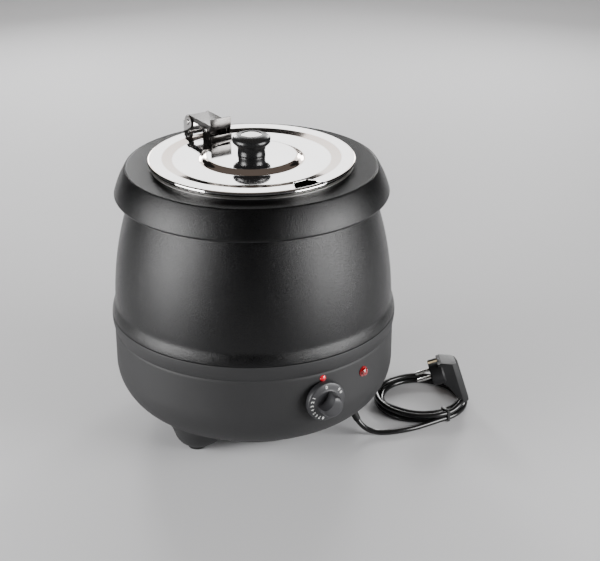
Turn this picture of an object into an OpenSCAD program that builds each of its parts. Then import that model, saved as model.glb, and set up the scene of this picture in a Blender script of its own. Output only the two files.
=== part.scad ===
// Electric soup kettle with a lift-out pot, a hinged lid and a corded thermostat base.
// Millimetres, +Z up. The origin is on the ground under the kettle's axis, and the
// control dial faces -Y. An azimuth is counted from -Y towards +X.

/* [Base pan] */
// Distance from the pot's wall out to the base pan's upright wall
jacket = 60.5; // [56:0.5:66]
// Height of the pan's floor above the ground
base_floor_z = 12; // [10:0.5:16]
// Radius of the pan's flat floor
base_floor_r = 107.1; // [104:0.1:109]
// Radius of the service opening in the pan's floor
service_r = 96; // [88:0.5:97]
// Radius of the curve between the pan's cone and its wall
base_corner_r = 60; // [50:1:66]
// Slope of the pan's cone above the floor, degrees
base_cone = 31.4; // [29:0.2:34]
// Height of the seam between the base pan and the upper shell
seam_z = 151; // [146:0.5:158]
// Radius of the curve of the bead at the seam
bead_r = 40; // [34:1:46]
// How far the bead stands out from the wall
bead_proud = 2.5; // [1.6:0.1:3.2]
// Height of the gap between the two halves at the seam
seam_gap = 1; // [0.6:0.1:1.4]
// Thickness of the painted sheet
sheet = 1.2; // [0.8:0.1:1.6]

/* [Feet] */
// Distance of the feet from the axis
foot_ring_r = 117.5; // [112:0.5:120]
// Azimuth of the first foot, degrees
foot_az = -65; // [-70:1:-60]
// Height of each foot dome's centre above the ground
foot_dome_z = 28.7; // [27:0.1:30]
// Radius of each foot dome at its widest
foot_dome_r = 27; // [24:0.5:29]
// Radius of a rubber foot pad
pad_r = 11; // [10:0.5:12.5]
// Thickness of a rubber foot pad
pad_h = 5; // [4:0.5:6]

/* [Upper shell and collar] */
// How far the barrel at its widest stands inside the base pan's wall
shell_step = 2; // [1:0.2:4]
// How far the shell has drawn in at the collar's lower edge
neck_in = 25.1; // [20:0.1:30]
// Height of the collar
collar_h = 34.5; // [32:0.5:37]
// How far the collar's lower edge stands out from the shell
collar_proud = 19.7; // [16:0.1:22]
// Distance of the crease in from the collar's widest
crease_in = 14; // [12:0.5:18]
// Width and depth of the crease
crease_w = 1.4; // [0.8:0.1:1.6]
// Radius of the curve of the collar's side
collar_side_r = 120; // [90:5:150]
// Radius of the collar's rolled lower edge
collar_roll = 3; // [2.4:0.1:4]

/* [Water well] */
// Height of the room under the water well
under_h = 72; // [70:0.5:76]
// Depth of the bath under the pot
bath_depth = 17; // [14:0.5:22]
// Width of the bath round the pot
bath_w = 5; // [4.4:0.1:5.4]
// Radius at the foot of the well's wall
well_corner_r = 15; // [12:1:20]
// Width of the well's flange under the collar
well_flange_w = 5; // [4:0.5:6]

/* [Soup pot] */
// Outer radius of the pot
pot_r = 112.5; // [110:0.5:113]
// Depth of the pot below its flange
pot_depth = 245; // [225:1:247]
// Thickness of the pot's sheet
pot_sheet = 1; // [0.8:0.1:1.2]
// Distance of the rim's roll out from the pot's wall
rim_reach = 6.2; // [6:0.1:7]
// Radius of the roll of the pot's rim
rim_roll = 3; // [2.4:0.1:3.2]
// Radius at the foot of the pot's wall
pot_corner_r = 24; // [14:1:30]

/* [Lid] */
// How far the lid reaches past the pot's rim
lid_lap = 2.6; // [2.4:0.1:3.4]
// Thickness of the lid's sheet
lid_sheet = 1; // [0.8:0.1:1.2]
// Height of the lid's turned edge
lid_edge_h = 2.6; // [2.2:0.1:2.8]
// Width of the lid's outer band
band_w = 17.3; // [15:0.1:19]
// Drop from the outer band to the ring inside it
ring_drop = 2; // [1.4:0.2:2.6]
// Width of the sloped steps in the lid
step_w = 9; // [6:0.5:10]
// Width of the level ring between the lid's two steps
ring_w = 34; // [32:0.5:38]
// Rise of the raised middle
boss_rise = 4.5; // [3:0.2:5]
// Turn of the lid and its hinge away from straight behind the dial, degrees
lid_turn = 4; // [-10:1:20]
// Turn of the ladle notch from straight above the dial, degrees
notch_az = 5.5; // [-10:0.5:20]
// Width of the ladle notch at its inner end
notch_w = 22; // [18:1:26]
// Length of the ladle notch in from the lid's edge
notch_l = 23.3; // [18:0.1:26]
// Widening of the notch towards the lid's edge, degrees each side
notch_flare = 26.6; // [15:0.2:30]

/* [Knob] */
// Radius of the knob's cap
knob_r = 23.2; // [20:0.2:26]
// Radius of the knob's neck
knob_neck_r = 16.8; // [14:0.2:18]
// Height of the knob
knob_h = 25; // [22:0.5:30]
// Radius of the bright disc in the knob's top
knob_disc_r = 12; // [9:0.5:14]

/* [Lid hinge] */
// Width of the hinge strap over its cheeks
strap_w = 28.6; // [27:0.2:30]
// Thickness of the hinge's sheet
hinge_sheet = 1.5; // [1.2:0.1:1.8]
// Distance of the hinge pin out from the lid's edge
pin_out = 2.7; // [2.2:0.1:3.4]
// Height of the hinge pin above the lid's outer band
pin_rise = 10.5; // [10.2:0.1:12]
// Radius of the hinge pin
pin_r = 2; // [1.6:0.1:2.4]
// Radius of the clip's ears round the hinge pin
ear_r = 8.5; // [8:0.1:9]
// Height of the strap's top plate above the hinge pin
strap_rise = 9.2; // [8.9:0.1:10]
// Distance of the inner rivet in from the hinge pin
rivet_in = 43; // [41:0.5:44]
// Radius of the inner rivet
rivet_r = 2; // [1.6:0.1:2.4]
// Distance of the upright stop plate in from the inner rivet
stop_in = 11.1; // [10:0.1:12]
// Height of the stop plate's top above the strap
stop_h = 7.5; // [6:0.5:10]
// Height of the front plate of the lid's bracket
bracket_h = 8.5; // [7:0.5:10]

/* [Controls] */
// Height of the dial's axis
dial_z = 98; // [94:0.5:102]
// Radius of the dial's skirt
dial_r = 24.4; // [22:0.2:26]
// Radius of the dial's grip
grip_r = 14; // [12:0.5:15]
// Depth of the whole dial
dial_depth = 25.3; // [22:0.1:27]
// Depth of the dial's skirt
skirt_depth = 9.3; // [8:0.1:11]
// Radius of the thermostat's shaft
shaft_r = 3; // [2.5:0.1:3.5]
// Height of the index lamp above the dial's axis
index_rise = 26.4; // [26:0.1:30]
// Radius of the index lamp
index_r = 3.9; // [3:0.1:4]
// Azimuth of the pilot lamp, degrees
pilot_az = 20.7; // [18:0.1:24]
// Height of the pilot lamp
pilot_z = 112.5; // [108:0.5:116]
// Radius of the pilot lamp's lens
pilot_r = 6.5; // [5:0.2:8]

/* [Heating] */
// Radius of the heating element's ring
element_ring_r = 78; // [60:1:84]
// Radius of the heating element's tube
element_r = 4; // [3:0.2:4.5]

/* [Mains lead] */
// Diameter of the mains lead
cord_d = 6.8; // [6:0.1:7.4]
// Azimuth of the cord gland, degrees
gland_az = 33; // [28:0.5:36]
// Distance of the gland's seat in from the base pan's wall
gland_in = 33.5; // [30:0.5:36]
// Length of the tapered cord sleeve outside the pan
sleeve_l = 13; // [11:0.5:14]

/* [Running fits] */
// Clearance between a turning or sliding piece and its neighbour
gap = 0.3; // [0.25:0.05:0.4]
// Radial clearance round a hinge pin
pin_gap = 0.05; // [0.03:0.01:0.08]

/* [Hidden] */

// Fine and plain roundness
$fn = 96;
// Steps along a quarter turn in a profile
QUARTER = 8;
PAINT = [0.09, 0.09, 0.09];
STEEL = [0.78, 0.78, 0.76];
RUBBER = [0.05, 0.05, 0.05];

// Radii that several pieces share
base_r = pot_r + jacket;
shell_r = base_r - shell_step;
opening_r = pot_r + bath_w;
rim_ring_r = pot_r + rim_reach;
lid_r = rim_ring_r + rim_roll + lid_lap;
band_r = lid_r - band_w;
boss_r = band_r - 2 * step_w - 2 - ring_w;
notch_in = lid_r - notch_l;
pin_y = lid_r + pin_out;
rivet_y = pin_y - rivet_in;
stop_y = rivet_y - stop_in;
gland_seat_r = base_r - gland_in;

// Heights that several pieces share
well_depth = pot_depth + bath_depth;
collar_top = under_h + well_depth;
collar_z = collar_top - collar_h;
collar_under = collar_top - sheet;
well_flange_top = collar_top + sheet;
rim_z = well_flange_top + gap + rim_roll;
rim_top = rim_z + rim_roll;
band_top = rim_top + gap + lid_sheet;
ring_top = band_top - ring_drop;
boss_top = ring_top + boss_rise;
pin_z = band_top + pin_rise;
strap_top = pin_z + strap_rise;
hinge_az = 180 + lid_turn;
pot_floor = collar_top - pot_depth;
well_out = opening_r - 0.5;
well_under = under_h;
dome_z = pad_h;
wall_in = base_r - sheet;

// Centre of the curve that joins the pan's cone to its wall
corner_x = base_r - base_corner_r;
corner_z = base_floor_z + (base_corner_r + (corner_x - base_floor_r) * sin(base_cone)) / cos(base_cone);
// Centre of the bead's curve
bead_x = base_r + bead_proud - bead_r;
bead_z = seam_z - 5;
// Centre of the barrel's curve, and its radius at a height
barrel_z = seam_z + 9;
barrel_r = (pow(collar_z - barrel_z, 2) + pow(neck_in, 2)) / (2 * neck_in);
function barrel(z) = shell_r - barrel_r + sqrt(pow(barrel_r, 2) - pow(z - barrel_z, 2));
collar_r = barrel(collar_z) + collar_proud;
crease_r = collar_r - crease_in;

// Points of an arc from angle a to angle b
function arc(x, z, r, a, b, n = QUARTER) =
    [for (i = [0:n]) [x + r * cos(a + (b - a) * i / n), z + r * sin(a + (b - a) * i / n)]];

// Points in reverse order
function back(points) = [for (i = [len(points) - 1:-1:0]) points[i]];

// A closed tube of radius r swept along the points of a path
function unit(v) = v / norm(v);
function along(p, i) = unit(p[min(i + 1, len(p) - 1)] - p[max(i - 1, 0)]);
function ring(p, t, r, n) =
    let (u = unit(cross(t, [0, 0, 1])), v = cross(t, u))
    [for (k = [0:n - 1]) p + r * (cos(360 * k / n) * u + sin(360 * k / n) * v)];

module swept_tube(p, r, n) {
    points = [for (i = [0:len(p) - 1]) each ring(p[i], along(p, i), r, n)];
    walls = [for (i = [0:len(p) - 2], k = [0:n - 1])
        [i * n + k, i * n + (k + 1) % n, (i + 1) * n + (k + 1) % n, (i + 1) * n + k]];
    ends = [[for (k = [n - 1:-1:0]) k], [for (k = [0:n - 1]) (len(p) - 1) * n + k]];
    polyhedron(points, concat(walls, ends));
}

// Points on a smooth curve through hand-chosen points
function curve_point(a, b, c, d, t) =
    0.5 * (2 * b + (c - a) * t + (2 * a - 5 * b + 4 * c - d) * pow(t, 2)
        + (3 * b - a - 3 * c + d) * pow(t, 3));
function smooth(p, steps) = concat(
    [for (i = [0:len(p) - 2], s = [0:steps - 1])
        curve_point(p[max(i - 1, 0)], p[i], p[i + 1], p[min(i + 2, len(p) - 1)], s / steps)],
    [p[len(p) - 1]]);

// Places children at an azimuth: their -Y then points outwards
module at_az(a) {
    rotate([0, 0, a])
        children();
}

// A pin along X, centred on it
module x_pin(r, l) {
    rotate([0, 90, 0])
        cylinder(r = r, h = l, center = true);
}

// ---------------------------------------------------------------- base pan

// A disc of radius r about a point of a profile, kept between two heights
module band_disc(x, z, r, low, high) {
    intersection() {
        translate([x, z])
            circle(r = r);
        translate([0, low])
            square([x + r + 1, high - low]);
    }
}

// Half of the pan's section, t inside its skin
module pan_half(t) {
    dx = t * sin(base_cone);
    dz = t * cos(base_cone);
    tx = corner_x + base_corner_r * sin(base_cone);
    tz = corner_z - base_corner_r * cos(base_cone);
    fx = base_floor_r - t * tan(base_cone / 2);
    polygon([[0, base_floor_z + t], [fx - 1.5, base_floor_z + t], [fx + 1.5 * cos(base_cone),
        base_floor_z + t + 1.5 * sin(base_cone)], [tx - dx, tz + dz], [corner_x, corner_z],
        [base_r - t, corner_z], [base_r - t, seam_z - seam_gap], [0, seam_z - seam_gap]]);
    band_disc(corner_x, corner_z, base_corner_r - t, corner_z - base_corner_r, corner_z);
    band_disc(bead_x, bead_z, bead_r - t, bead_z - bead_r / 2, seam_z - seam_gap);
}

module at_feet() {
    for (i = [0:2])
        at_az(foot_az + 120 * i)
            translate([0, -foot_ring_r, 0])
                children();
}

// Half of a foot dome's section, t inside its skin, up into the pan
module dome_half(t) {
    intersection() {
        union() {
            translate([0, foot_dome_z])
                circle(r = foot_dome_r - t);
            translate([0, foot_dome_z])
                square([foot_dome_r - t, 8]);
        }
        translate([0, dome_z + t])
            square([foot_dome_r, foot_dome_z + 8 - dome_z - t]);
    }
}

// Everything inside the pan's skin up to the seam
module pan_solid(t) {
    rotate_extrude()
        pan_half(t);
    at_feet()
        rotate_extrude()
            dome_half(t);
}

module base_shell() {
    color(PAINT)
    difference() {
        union() {
            difference() {
                pan_solid(0);
                difference() {
                    pan_solid(sheet);
                    rotate_extrude()
                        seam_land();
                }
            }
            // spigot that centres the upper shell
            rotate_extrude()
                translate([base_r - 5, seam_z - seam_gap - sheet])
                    square([sheet, 16]);
            rotate_extrude()
                translate([base_r - 5, seam_z - seam_gap - sheet])
                    square([5, seam_gap + sheet]);
        }
        // service opening in the floor
        translate([0, 0, base_floor_z - 1])
            cylinder(r = service_r, h = 4);
        at_feet()
            translate([0, 0, dome_z - 1])
                cylinder(r = screw_r + 0.02, h = 4, $fn = 32);
        dial_hole();
        lamp_holes();
        gland_hole();
        cover_screw_holes();
    }
}

// The pan's rim turned in under the upper shell
module seam_land() {
    translate([base_r - 5, seam_z - seam_gap - sheet])
        square([9, sheet]);
}

screw_r = 2;

module dial_hole() {
    translate([0, -wall_in + 4, dial_z])
        rotate([90, 0, 0])
            cylinder(r = bush_r, h = 12, $fn = 48);
}

bush_r = 5;

module lamp_holes() {
    translate([0, -wall_in + 4, dial_z + index_rise])
        rotate([90, 0, 0])
            cylinder(r = index_r - 0.6, h = 12, $fn = 48);
    at_az(pilot_az)
        translate([0, -wall_in + 4, pilot_z])
            rotate([90, 0, 0])
                cylinder(r = pilot_r - 1, h = 12, $fn = 48);
}

// The gland's axis leaves the pan's cone at right angles to it
gland_seat_z = base_floor_z + (gland_seat_r - base_floor_r) * tan(base_cone);
gland_r = 4.6;
gland_nut_h = 6;

module at_gland() {
    at_az(gland_az)
        translate([0, -gland_seat_r, gland_seat_z])
            rotate([90 + 90 - base_cone, 0, 0])
                children();
}

module gland_hole() {
    at_gland()
        translate([0, 0, -6])
            cylinder(r = gland_r, h = 12, $fn = 48);
}

// ---------------------------------------------------------------- bottom cover

cover_screw_ring = service_r + 3.5;
cover_screw_l = 7;
cover_head_r = 3.8;
cover_head_h = 2;
vent_ring = 30;
vent_pitch = 16;
vent_r = 3;

module at_cover_screws() {
    for (i = [0:2])
        at_az(foot_az + 60 + 120 * i)
            translate([0, -cover_screw_ring, 0])
                children();
}

module cover_screw_holes() {
    at_cover_screws()
        translate([0, 0, base_floor_z - 1])
            cylinder(r = screw_r, h = 5, $fn = 32);
}

// A flat disc under the floor with a dished middle and rows of vents
module bottom_cover() {
    color(PAINT)
    difference() {
        rotate_extrude()
            polygon([[0, base_floor_z + 3], [service_r - 16, base_floor_z + 3],
                [service_r - 10, base_floor_z - sheet], [base_floor_r - 1, base_floor_z - sheet],
                [base_floor_r - 1, base_floor_z], [service_r - 9.5, base_floor_z],
                [service_r - 15.5, base_floor_z + 3 + sheet], [0, base_floor_z + 3 + sheet]]);
        for (ring = [0:2], a = [0:30:330])
            at_az(a + 15 * ring)
                translate([0, -vent_ring - vent_pitch * ring, base_floor_z])
                    cylinder(r = vent_r, h = 8, $fn = 24);
        at_cover_screws()
            translate([0, 0, base_floor_z - 3])
                cylinder(r = screw_r + gap, h = 5, $fn = 32);
        // the foot domes pass through the edge
        at_feet()
            translate([0, 0, base_floor_z - 3])
                cylinder(r = foot_dome_r - 5, h = 5);
    }
}

module cover_screws() {
    color(STEEL)
    at_cover_screws() {
        translate([0, 0, base_floor_z - sheet])
            rotate([180, 0, 0])
                rotate_extrude($fn = 32)
                    polygon([[0, 0], [cover_head_r, 0], [cover_head_r, cover_head_h * 0.4],
                        [cover_head_r - 1.2, cover_head_h], [0, cover_head_h]]);
        translate([0, 0, base_floor_z - sheet])
            cylinder(r = screw_r - 0.05, h = cover_screw_l, $fn = 32);
    }
}

// ---------------------------------------------------------------- feet

module foot_pads() {
    color(RUBBER)
    at_feet()
        difference() {
            rotate_extrude($fn = 48)
                polygon([[0, 0], [pad_r - 1.2, 0], [pad_r, 1.2], [pad_r + 0.8, pad_h], [0, pad_h]]);
            translate([0, 0, -1])
                cylinder(r = 4.5, h = 3.2, $fn = 32);
            cylinder(r = screw_r + gap, h = pad_h + 1, $fn = 32);
        }
}

module foot_screws() {
    color(STEEL)
    at_feet() {
        translate([0, 0, 0.8])
            cylinder(r = 3.8, h = 1.4, $fn = 32);
        translate([0, 0, 2.2])
            cylinder(r = screw_r, h = pad_h + 4, $fn = 32);
        translate([0, 0, dome_z + sheet])
            cylinder(r = 4, h = 2.6, $fn = 6);
    }
}

// ---------------------------------------------------------------- upper shell and collar

// Half of the upper shell's section, t inside its skin
module shell_half(t) {
    band_disc(shell_r - barrel_r, barrel_z, barrel_r - t, seam_z - 1, collar_under + 1);
    band_disc(bead_x, bead_z, bead_r - t, seam_z - 1, bead_z + bead_r / 2);
}

module upper_shell() {
    color(PAINT)
    rotate_extrude() {
        intersection() {
            difference() {
                shell_half(0);
                shell_half(sheet);
            }
            translate([0, seam_z])
                square([base_r + 9, collar_under - seam_z]);
        }
        // hem turned in on to the pan's rim
        translate([base_r - 5 + sheet + gap, seam_z])
            square([5.2, sheet]);
    }
}

// The collar's side is an arc from the crease to the rolled lower edge
side_foot = [collar_r, collar_z + collar_roll];
side_head = [crease_r, collar_top];
side_mid = (side_foot + side_head) / 2;
side_half = norm(side_head - side_foot) / 2;
side_in = [-(side_head - side_foot)[1], (side_head - side_foot)[0]] / (2 * side_half);
side_at = side_mid + side_in * sqrt(pow(collar_side_r, 2) - pow(side_half, 2));

// Half of the collar's section, t inside its skin
module collar_half(t) {
    band_disc(side_at[0], side_at[1], collar_side_r - t, collar_z + collar_roll, collar_top - t);
    translate([0, collar_z + t])
        square([collar_r - collar_roll, collar_roll]);
    translate([collar_r - collar_roll, collar_z + collar_roll])
        circle(r = collar_roll - t);
    translate([0, collar_z + collar_roll])
        square([side_at[0], collar_h - collar_roll - t]);
}

module top_collar() {
    shell_at_foot = barrel(collar_z) + 0.1;
    color(PAINT)
    rotate_extrude()
        difference() {
            collar_half(0);
            collar_half(sheet);
            // the shell stands inside the lower edge
            translate([0, collar_z - 1])
                square([shell_at_foot, collar_under - collar_z + 1]);
            // opening for the well
            translate([0, collar_z])
                square([opening_r, collar_h + 1]);
            // crease round the top
            translate([crease_r - crease_w, collar_top - 0.7])
                square([crease_w, 1]);
        }
}

// ---------------------------------------------------------------- water well and heating

module water_well() {
    color([0.5, 0.5, 0.5])
    rotate_extrude() {
        difference() {
            well_half(0);
            well_half(sheet);
        }
        // flange on the collar
        translate([well_out - sheet, collar_top])
            square([well_flange_w + sheet, sheet]);
    }
    // threaded studs for the element plate
    color(STEEL)
    at_studs()
        translate([0, 0, plate_z - 6])
            cylinder(r = screw_r, h = well_under - plate_z + 6, $fn = 32);
}

// Half of the well's section, t inside its skin
module well_half(t) {
    translate([0, well_under + t])
        square([well_out - well_corner_r, well_depth]);
    translate([0, well_under + well_corner_r])
        square([well_out - t, well_depth - well_corner_r + sheet]);
    translate([well_out - well_corner_r, well_under + well_corner_r])
        circle(r = well_corner_r - t);
}

element_z = well_under - element_r - 0.02;
plate_z = element_z - element_r - sheet;
stud_ring = 40;
// Lengths of the element's turned-down legs and of the pins at their ends
element_leg = 22;
element_pin = 10;

module at_studs() {
    for (a = [30:120:270])
        at_az(a)
            translate([0, -stud_ring, 0])
                children();
}

// An open ring whose two ends turn down to their terminals
module heating_element() {
    color([0.45, 0.42, 0.4]) {
        translate([0, 0, element_z])
            rotate([0, 0, 15])
                rotate_extrude(angle = 330)
                    translate([element_ring_r, 0])
                        circle(r = element_r, $fn = 32);
        for (s = [-1, 1])
            rotate([0, 0, 15 * s])
                translate([element_ring_r, 0, element_z - element_leg]) {
                    cylinder(r = element_r, h = element_leg, $fn = 32);
                    translate([0, 0, -element_pin])
                        cylinder(r = 1.6, h = element_pin, $fn = 24);
                }
    }
}

module element_plate() {
    color([0.6, 0.6, 0.6])
    difference() {
        rotate_extrude()
            polygon([[0, plate_z], [element_ring_r + 14, plate_z], [element_ring_r + 20, plate_z - 4],
                [element_ring_r + 21, plate_z - 3], [element_ring_r + 14.4, plate_z + sheet],
                [0, plate_z + sheet]]);
        at_studs()
            translate([0, 0, plate_z - 1])
                cylinder(r = screw_r + gap, h = 4, $fn = 32);
        for (s = [-1, 1])
            rotate([0, 0, 15 * s])
                translate([element_ring_r, 0, plate_z - 2])
                    cylinder(r = element_r + 1, h = 6, $fn = 32);
        translate([0, 0, plate_z - 2])
            cylinder(r = cutout_r + 1, h = 6);
    }
}

module element_nuts() {
    color(STEEL)
    at_studs()
        translate([0, 0, plate_z - 3])
            difference() {
                cylinder(r = 4, h = 3, $fn = 6);
                translate([0, 0, -1])
                    cylinder(r = screw_r + 0.02, h = 5, $fn = 32);
            }
}

cutout_r = 9;

module thermal_cutout() {
    color([0.75, 0.7, 0.6])
    translate([0, 0, well_under - 11]) {
        translate([0, 0, 5])
            cylinder(r = cutout_r, h = 6);
        cylinder(r = 7.5, h = 5, $fn = 48);
        for (s = [-1, 1])
            translate([4 * s - 0.4, -3, -8])
                cube([0.8, 6, 8]);
    }
}

// ---------------------------------------------------------------- thermostat

thermo_face = wall_in;
thermo_size = [36, 24, 34];

module thermostat_body() {
    color([0.85, 0.83, 0.78])
    difference() {
        union() {
            translate([-thermo_size[0] / 2, -thermo_face + 5, dial_z - thermo_size[2] / 2])
                cube(thermo_size);
            // threaded bush through the wall
            translate([0, -thermo_face + 5, dial_z])
                rotate([90, 0, 0])
                    cylinder(r = bush_r - 0.1, h = 8.4, $fn = 48);
        }
        // bore that the shaft turns in
        translate([0, -thermo_face + 15, dial_z])
            rotate([90, 0, 0])
                cylinder(r = shaft_r + pin_gap, h = 30, $fn = 48);
    }
    // push-on terminals
    color(STEEL)
    for (x = [-10, 0, 10])
        translate([x - 3, -thermo_face + 5 + thermo_size[1], dial_z + 4])
            cube([6, 9, 0.8]);
}

module thermostat_nut() {
    color(STEEL)
    translate([0, -base_r, dial_z])
        rotate([90, 0, 0])
            difference() {
                cylinder(r = 8, h = 2, $fn = 6);
                translate([0, 0, -1])
                    cylinder(r = bush_r - 0.1 + 0.02, h = 4, $fn = 48);
            }
}

bulb_r = 3;
bulb_l = 60;

// The capillary drops from the thermostat and turns in under the well to its bulb
module capillary_bulb() {
    x = 12;
    z = plate_z - bulb_r - 2.6;
    turn = 8;
    down_y = -thermo_face + 14;
    bulb_y = -66;
    color([0.8, 0.5, 0.3]) {
        translate([x, bulb_y, z])
            rotate([-90, 0, 0])
                cylinder(r = bulb_r, h = bulb_l, $fn = 32);
        translate([x, down_y + turn, z])
            rotate([-90, 0, 0])
                cylinder(r = 0.9, h = bulb_y - down_y - turn + 1, $fn = 24);
        translate([x, down_y + turn, z + turn])
            rotate([0, 90, 0])
                rotate_extrude(angle = -90, $fn = 48)
                    translate([turn, 0])
                        circle(r = 0.9, $fn = 24);
        translate([x, down_y, z + turn])
            cylinder(r = 0.9, h = dial_z - thermo_size[2] / 2 - z - turn, $fn = 24);
    }
}

// ---------------------------------------------------------------- wiring

block_at = [30, -54, base_floor_z + 3 + sheet];
block_size = [30, 20, 15];

module terminal_block() {
    color([0.9, 0.9, 0.86])
    translate(block_at)
        difference() {
            cube(block_size);
            for (i = [0:2])
                translate([5 + 10 * i, 5, 6])
                    cylinder(r = 2.6, h = 12, $fn = 24);
            for (i = [0:2])
                translate([5 + 10 * i, -1, 6])
                    rotate([-90, 0, 0])
                        cylinder(r = 2, h = 4, $fn = 24);
        }
}

stud_at = [16, -68, base_floor_z + 3 + sheet];

module earth_stud() {
    color([0.8, 0.65, 0.3])
    translate(stud_at) {
        cylinder(r = 2.5, h = 14, $fn = 32);
        translate([0, 0, 1])
            cylinder(r = 5, h = 4, $fn = 6);
    }
}

// A place on the gland's axis, so far inside the pan's skin and so far to one side
function inside_gland(deep, side) = [
    (gland_seat_r - deep * sin(base_cone)) * sin(gland_az) + side * cos(gland_az),
    -(gland_seat_r - deep * sin(base_cone)) * cos(gland_az) + side * sin(gland_az),
    gland_seat_z + deep * cos(base_cone)];

// A conductor from the gland over the well's room down to a terminal
module conductor(side, way, end) {
    start = sheet + gland_nut_h + 0.8;
    swept_tube(smooth(concat([inside_gland(start, side), inside_gland(start + 5, side)], way,
        [end + [-0.3, -6, 3], end + [0, -0.4, 0]]), 4), 1.3, 6);
}

module inner_wiring() {
    top = block_at + [0, 0, 8];
    color([0.5, 0.25, 0.1])
    conductor(0, [[62, -96, 44], [46, -72, 36]], top + [5, 0, 0]);
    color([0.1, 0.25, 0.6])
    conductor(3, [[70, -94, 43], [57, -70, 35]], top + [15, 0, 0]);
    color([0.7, 0.7, 0.1])
    conductor(-3, [[52, -100, 42], [32, -88, 34]], stud_at + [0.4, -5, 7]);
}

// ---------------------------------------------------------------- lamps

module index_lamp() {
    color([0.8, 0.05, 0.05])
    translate([0, -base_r, dial_z + index_rise])
        rotate([90, 0, 0])
            rotate_extrude($fn = 48)
                polygon([[0, 0], [index_r, 0], [index_r, 0.5], [index_r - 0.4, 0.9],
                    [index_r - 1.2, 1.6], [index_r - 2.4, 2.1], [0, 2.3]]);
}

module index_lamp_body() {
    color([0.85, 0.85, 0.82])
    translate([0, -base_r, dial_z + index_rise])
        rotate([-90, 0, 0]) {
            cylinder(r = index_r - 0.8, h = 14, $fn = 32);
            translate([0, 0, sheet + gap])
                cylinder(r = index_r + 1.4, h = 2, $fn = 32);
        }
}

module pilot_lens() {
    color([0.75, 0.05, 0.06])
    at_az(pilot_az)
        translate([0, -base_r, pilot_z])
            rotate([90, 0, 0])
                rotate_extrude($fn = 48)
                    polygon([[0, 0], [pilot_r, 0], [pilot_r, 1.2], [pilot_r - 1, 2],
                        [pilot_r - 2, 4.6], [pilot_r - 4, 5.6], [0, 5.8]]);
}

module pilot_lamp_body() {
    color([0.85, 0.85, 0.82])
    at_az(pilot_az)
        translate([0, -base_r, pilot_z])
            rotate([-90, 0, 0]) {
                cylinder(r = pilot_r - 1.2, h = 22, $fn = 48);
                translate([0, 0, sheet + 2 * gap])
                    cylinder(r = pilot_r + 2, h = 2, $fn = 48);
                for (s = [-1, 1])
                    translate([2.4 * s - 0.4, -2.4, 22])
                        cube([0.8, 4.8, 7]);
            }
}

// ---------------------------------------------------------------- mains lead

module cord_gland() {
    color(RUBBER)
    at_gland() {
        // flange outside the pan, neck through it and lip inside
        rotate_extrude($fn = 48)
            polygon([[0, -sheet], [gland_r, -sheet], [gland_r, 0], [gland_r + 1.6, 0],
                [gland_r + 1.2, 1.8], [cord_d / 2 + 1.4, 3], [cord_d / 2 + 0.6, sleeve_l],
                [0, sleeve_l]]);
        translate([0, 0, -sheet - gland_nut_h])
            cylinder(r = gland_r + 1, h = gland_nut_h, $fn = 6);
    }
}

// The lead's route from the end of its sleeve to the side of the coil
CORD_ROUTE = [[79.8, -122.9, 20.3], [82.2, -125.4, 15.9], [87.1, -129.2, 10.4], [93.6, -133.2, 6.3],
    [101.7, -137.3, 4], [111.2, -141.7, 3.45], [120.7, -144.9, 3.45], [131.4, -147.3, 3.45],
    [144.7, -149.1, 3.45], [157.1, -149.6, 3.45], [170.9, -149, 3.45], [181.3, -148.6, 3.45],
    [190.5, -148.5, 3.45]];

module power_cord() {
    color(RUBBER)
    swept_tube(smooth(CORD_ROUTE, 2), cord_d / 2, 10);
}

coil_at = [195, -91, 0];
coil_mid_r = 54;

module cord_coil() {
    color(RUBBER)
    translate(coil_at) {
        rotate_extrude() {
            coil_turn(-1, -1);
            coil_turn(-1, 1);
            coil_turn(1, 1);
        }
        // the turn lying outermost on the ground stops short of the place where the lead comes in
        rotate([0, 0, coil_join])
            rotate_extrude(angle = 336) {
                coil_turn(1, -1);
                translate([coil_mid_r - 2, cord_d - 2])
                    square([4, 4]);
            }
    }
}

// Section of one turn of the coil, inner or outer, lower or upper
module coil_turn(side, level) {
    lift = level > 0 ? gap : 0;
    translate([coil_mid_r + side * (cord_d / 2 - 0.05), cord_d + lift + level * (cord_d / 2 - 0.05)])
        circle(r = cord_d / 2, $fn = 48);
}

coil_join = -94;
coil_top = 2 * cord_d + gap;
tie_az = -88;

// A strip over the bundle, open where the bundle lies on the ground
module coil_tie() {
    color([0.12, 0.12, 0.12])
    translate(coil_at)
        rotate([0, 0, tie_az])
            translate([coil_mid_r, 0, 0])
                difference() {
                    translate([-cord_d - 0.8, -2, 0.2])
                        cube([2 * cord_d + 1.6, 4, coil_top + 0.6]);
                    translate([-cord_d - 0.02, -3, -1])
                        cube([2 * cord_d + 0.04, 6, coil_top + 1.02]);
                }
}

// The plug stands on the coil on the end of its tail, pins level with the kettle
plug_tilt = 17.5;
plug_turn = -27;
plug_face_r = 19;
tail_low = [30, -48.6];
plug_at = coil_at + [-0.8, -20.9, coil_top - tail_low[0] * sin(plug_tilt) - tail_low[1] * cos(plug_tilt)];

module at_plug() {
    translate(plug_at)
        rotate([0, -plug_tilt, plug_turn])
            children();
}

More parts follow.
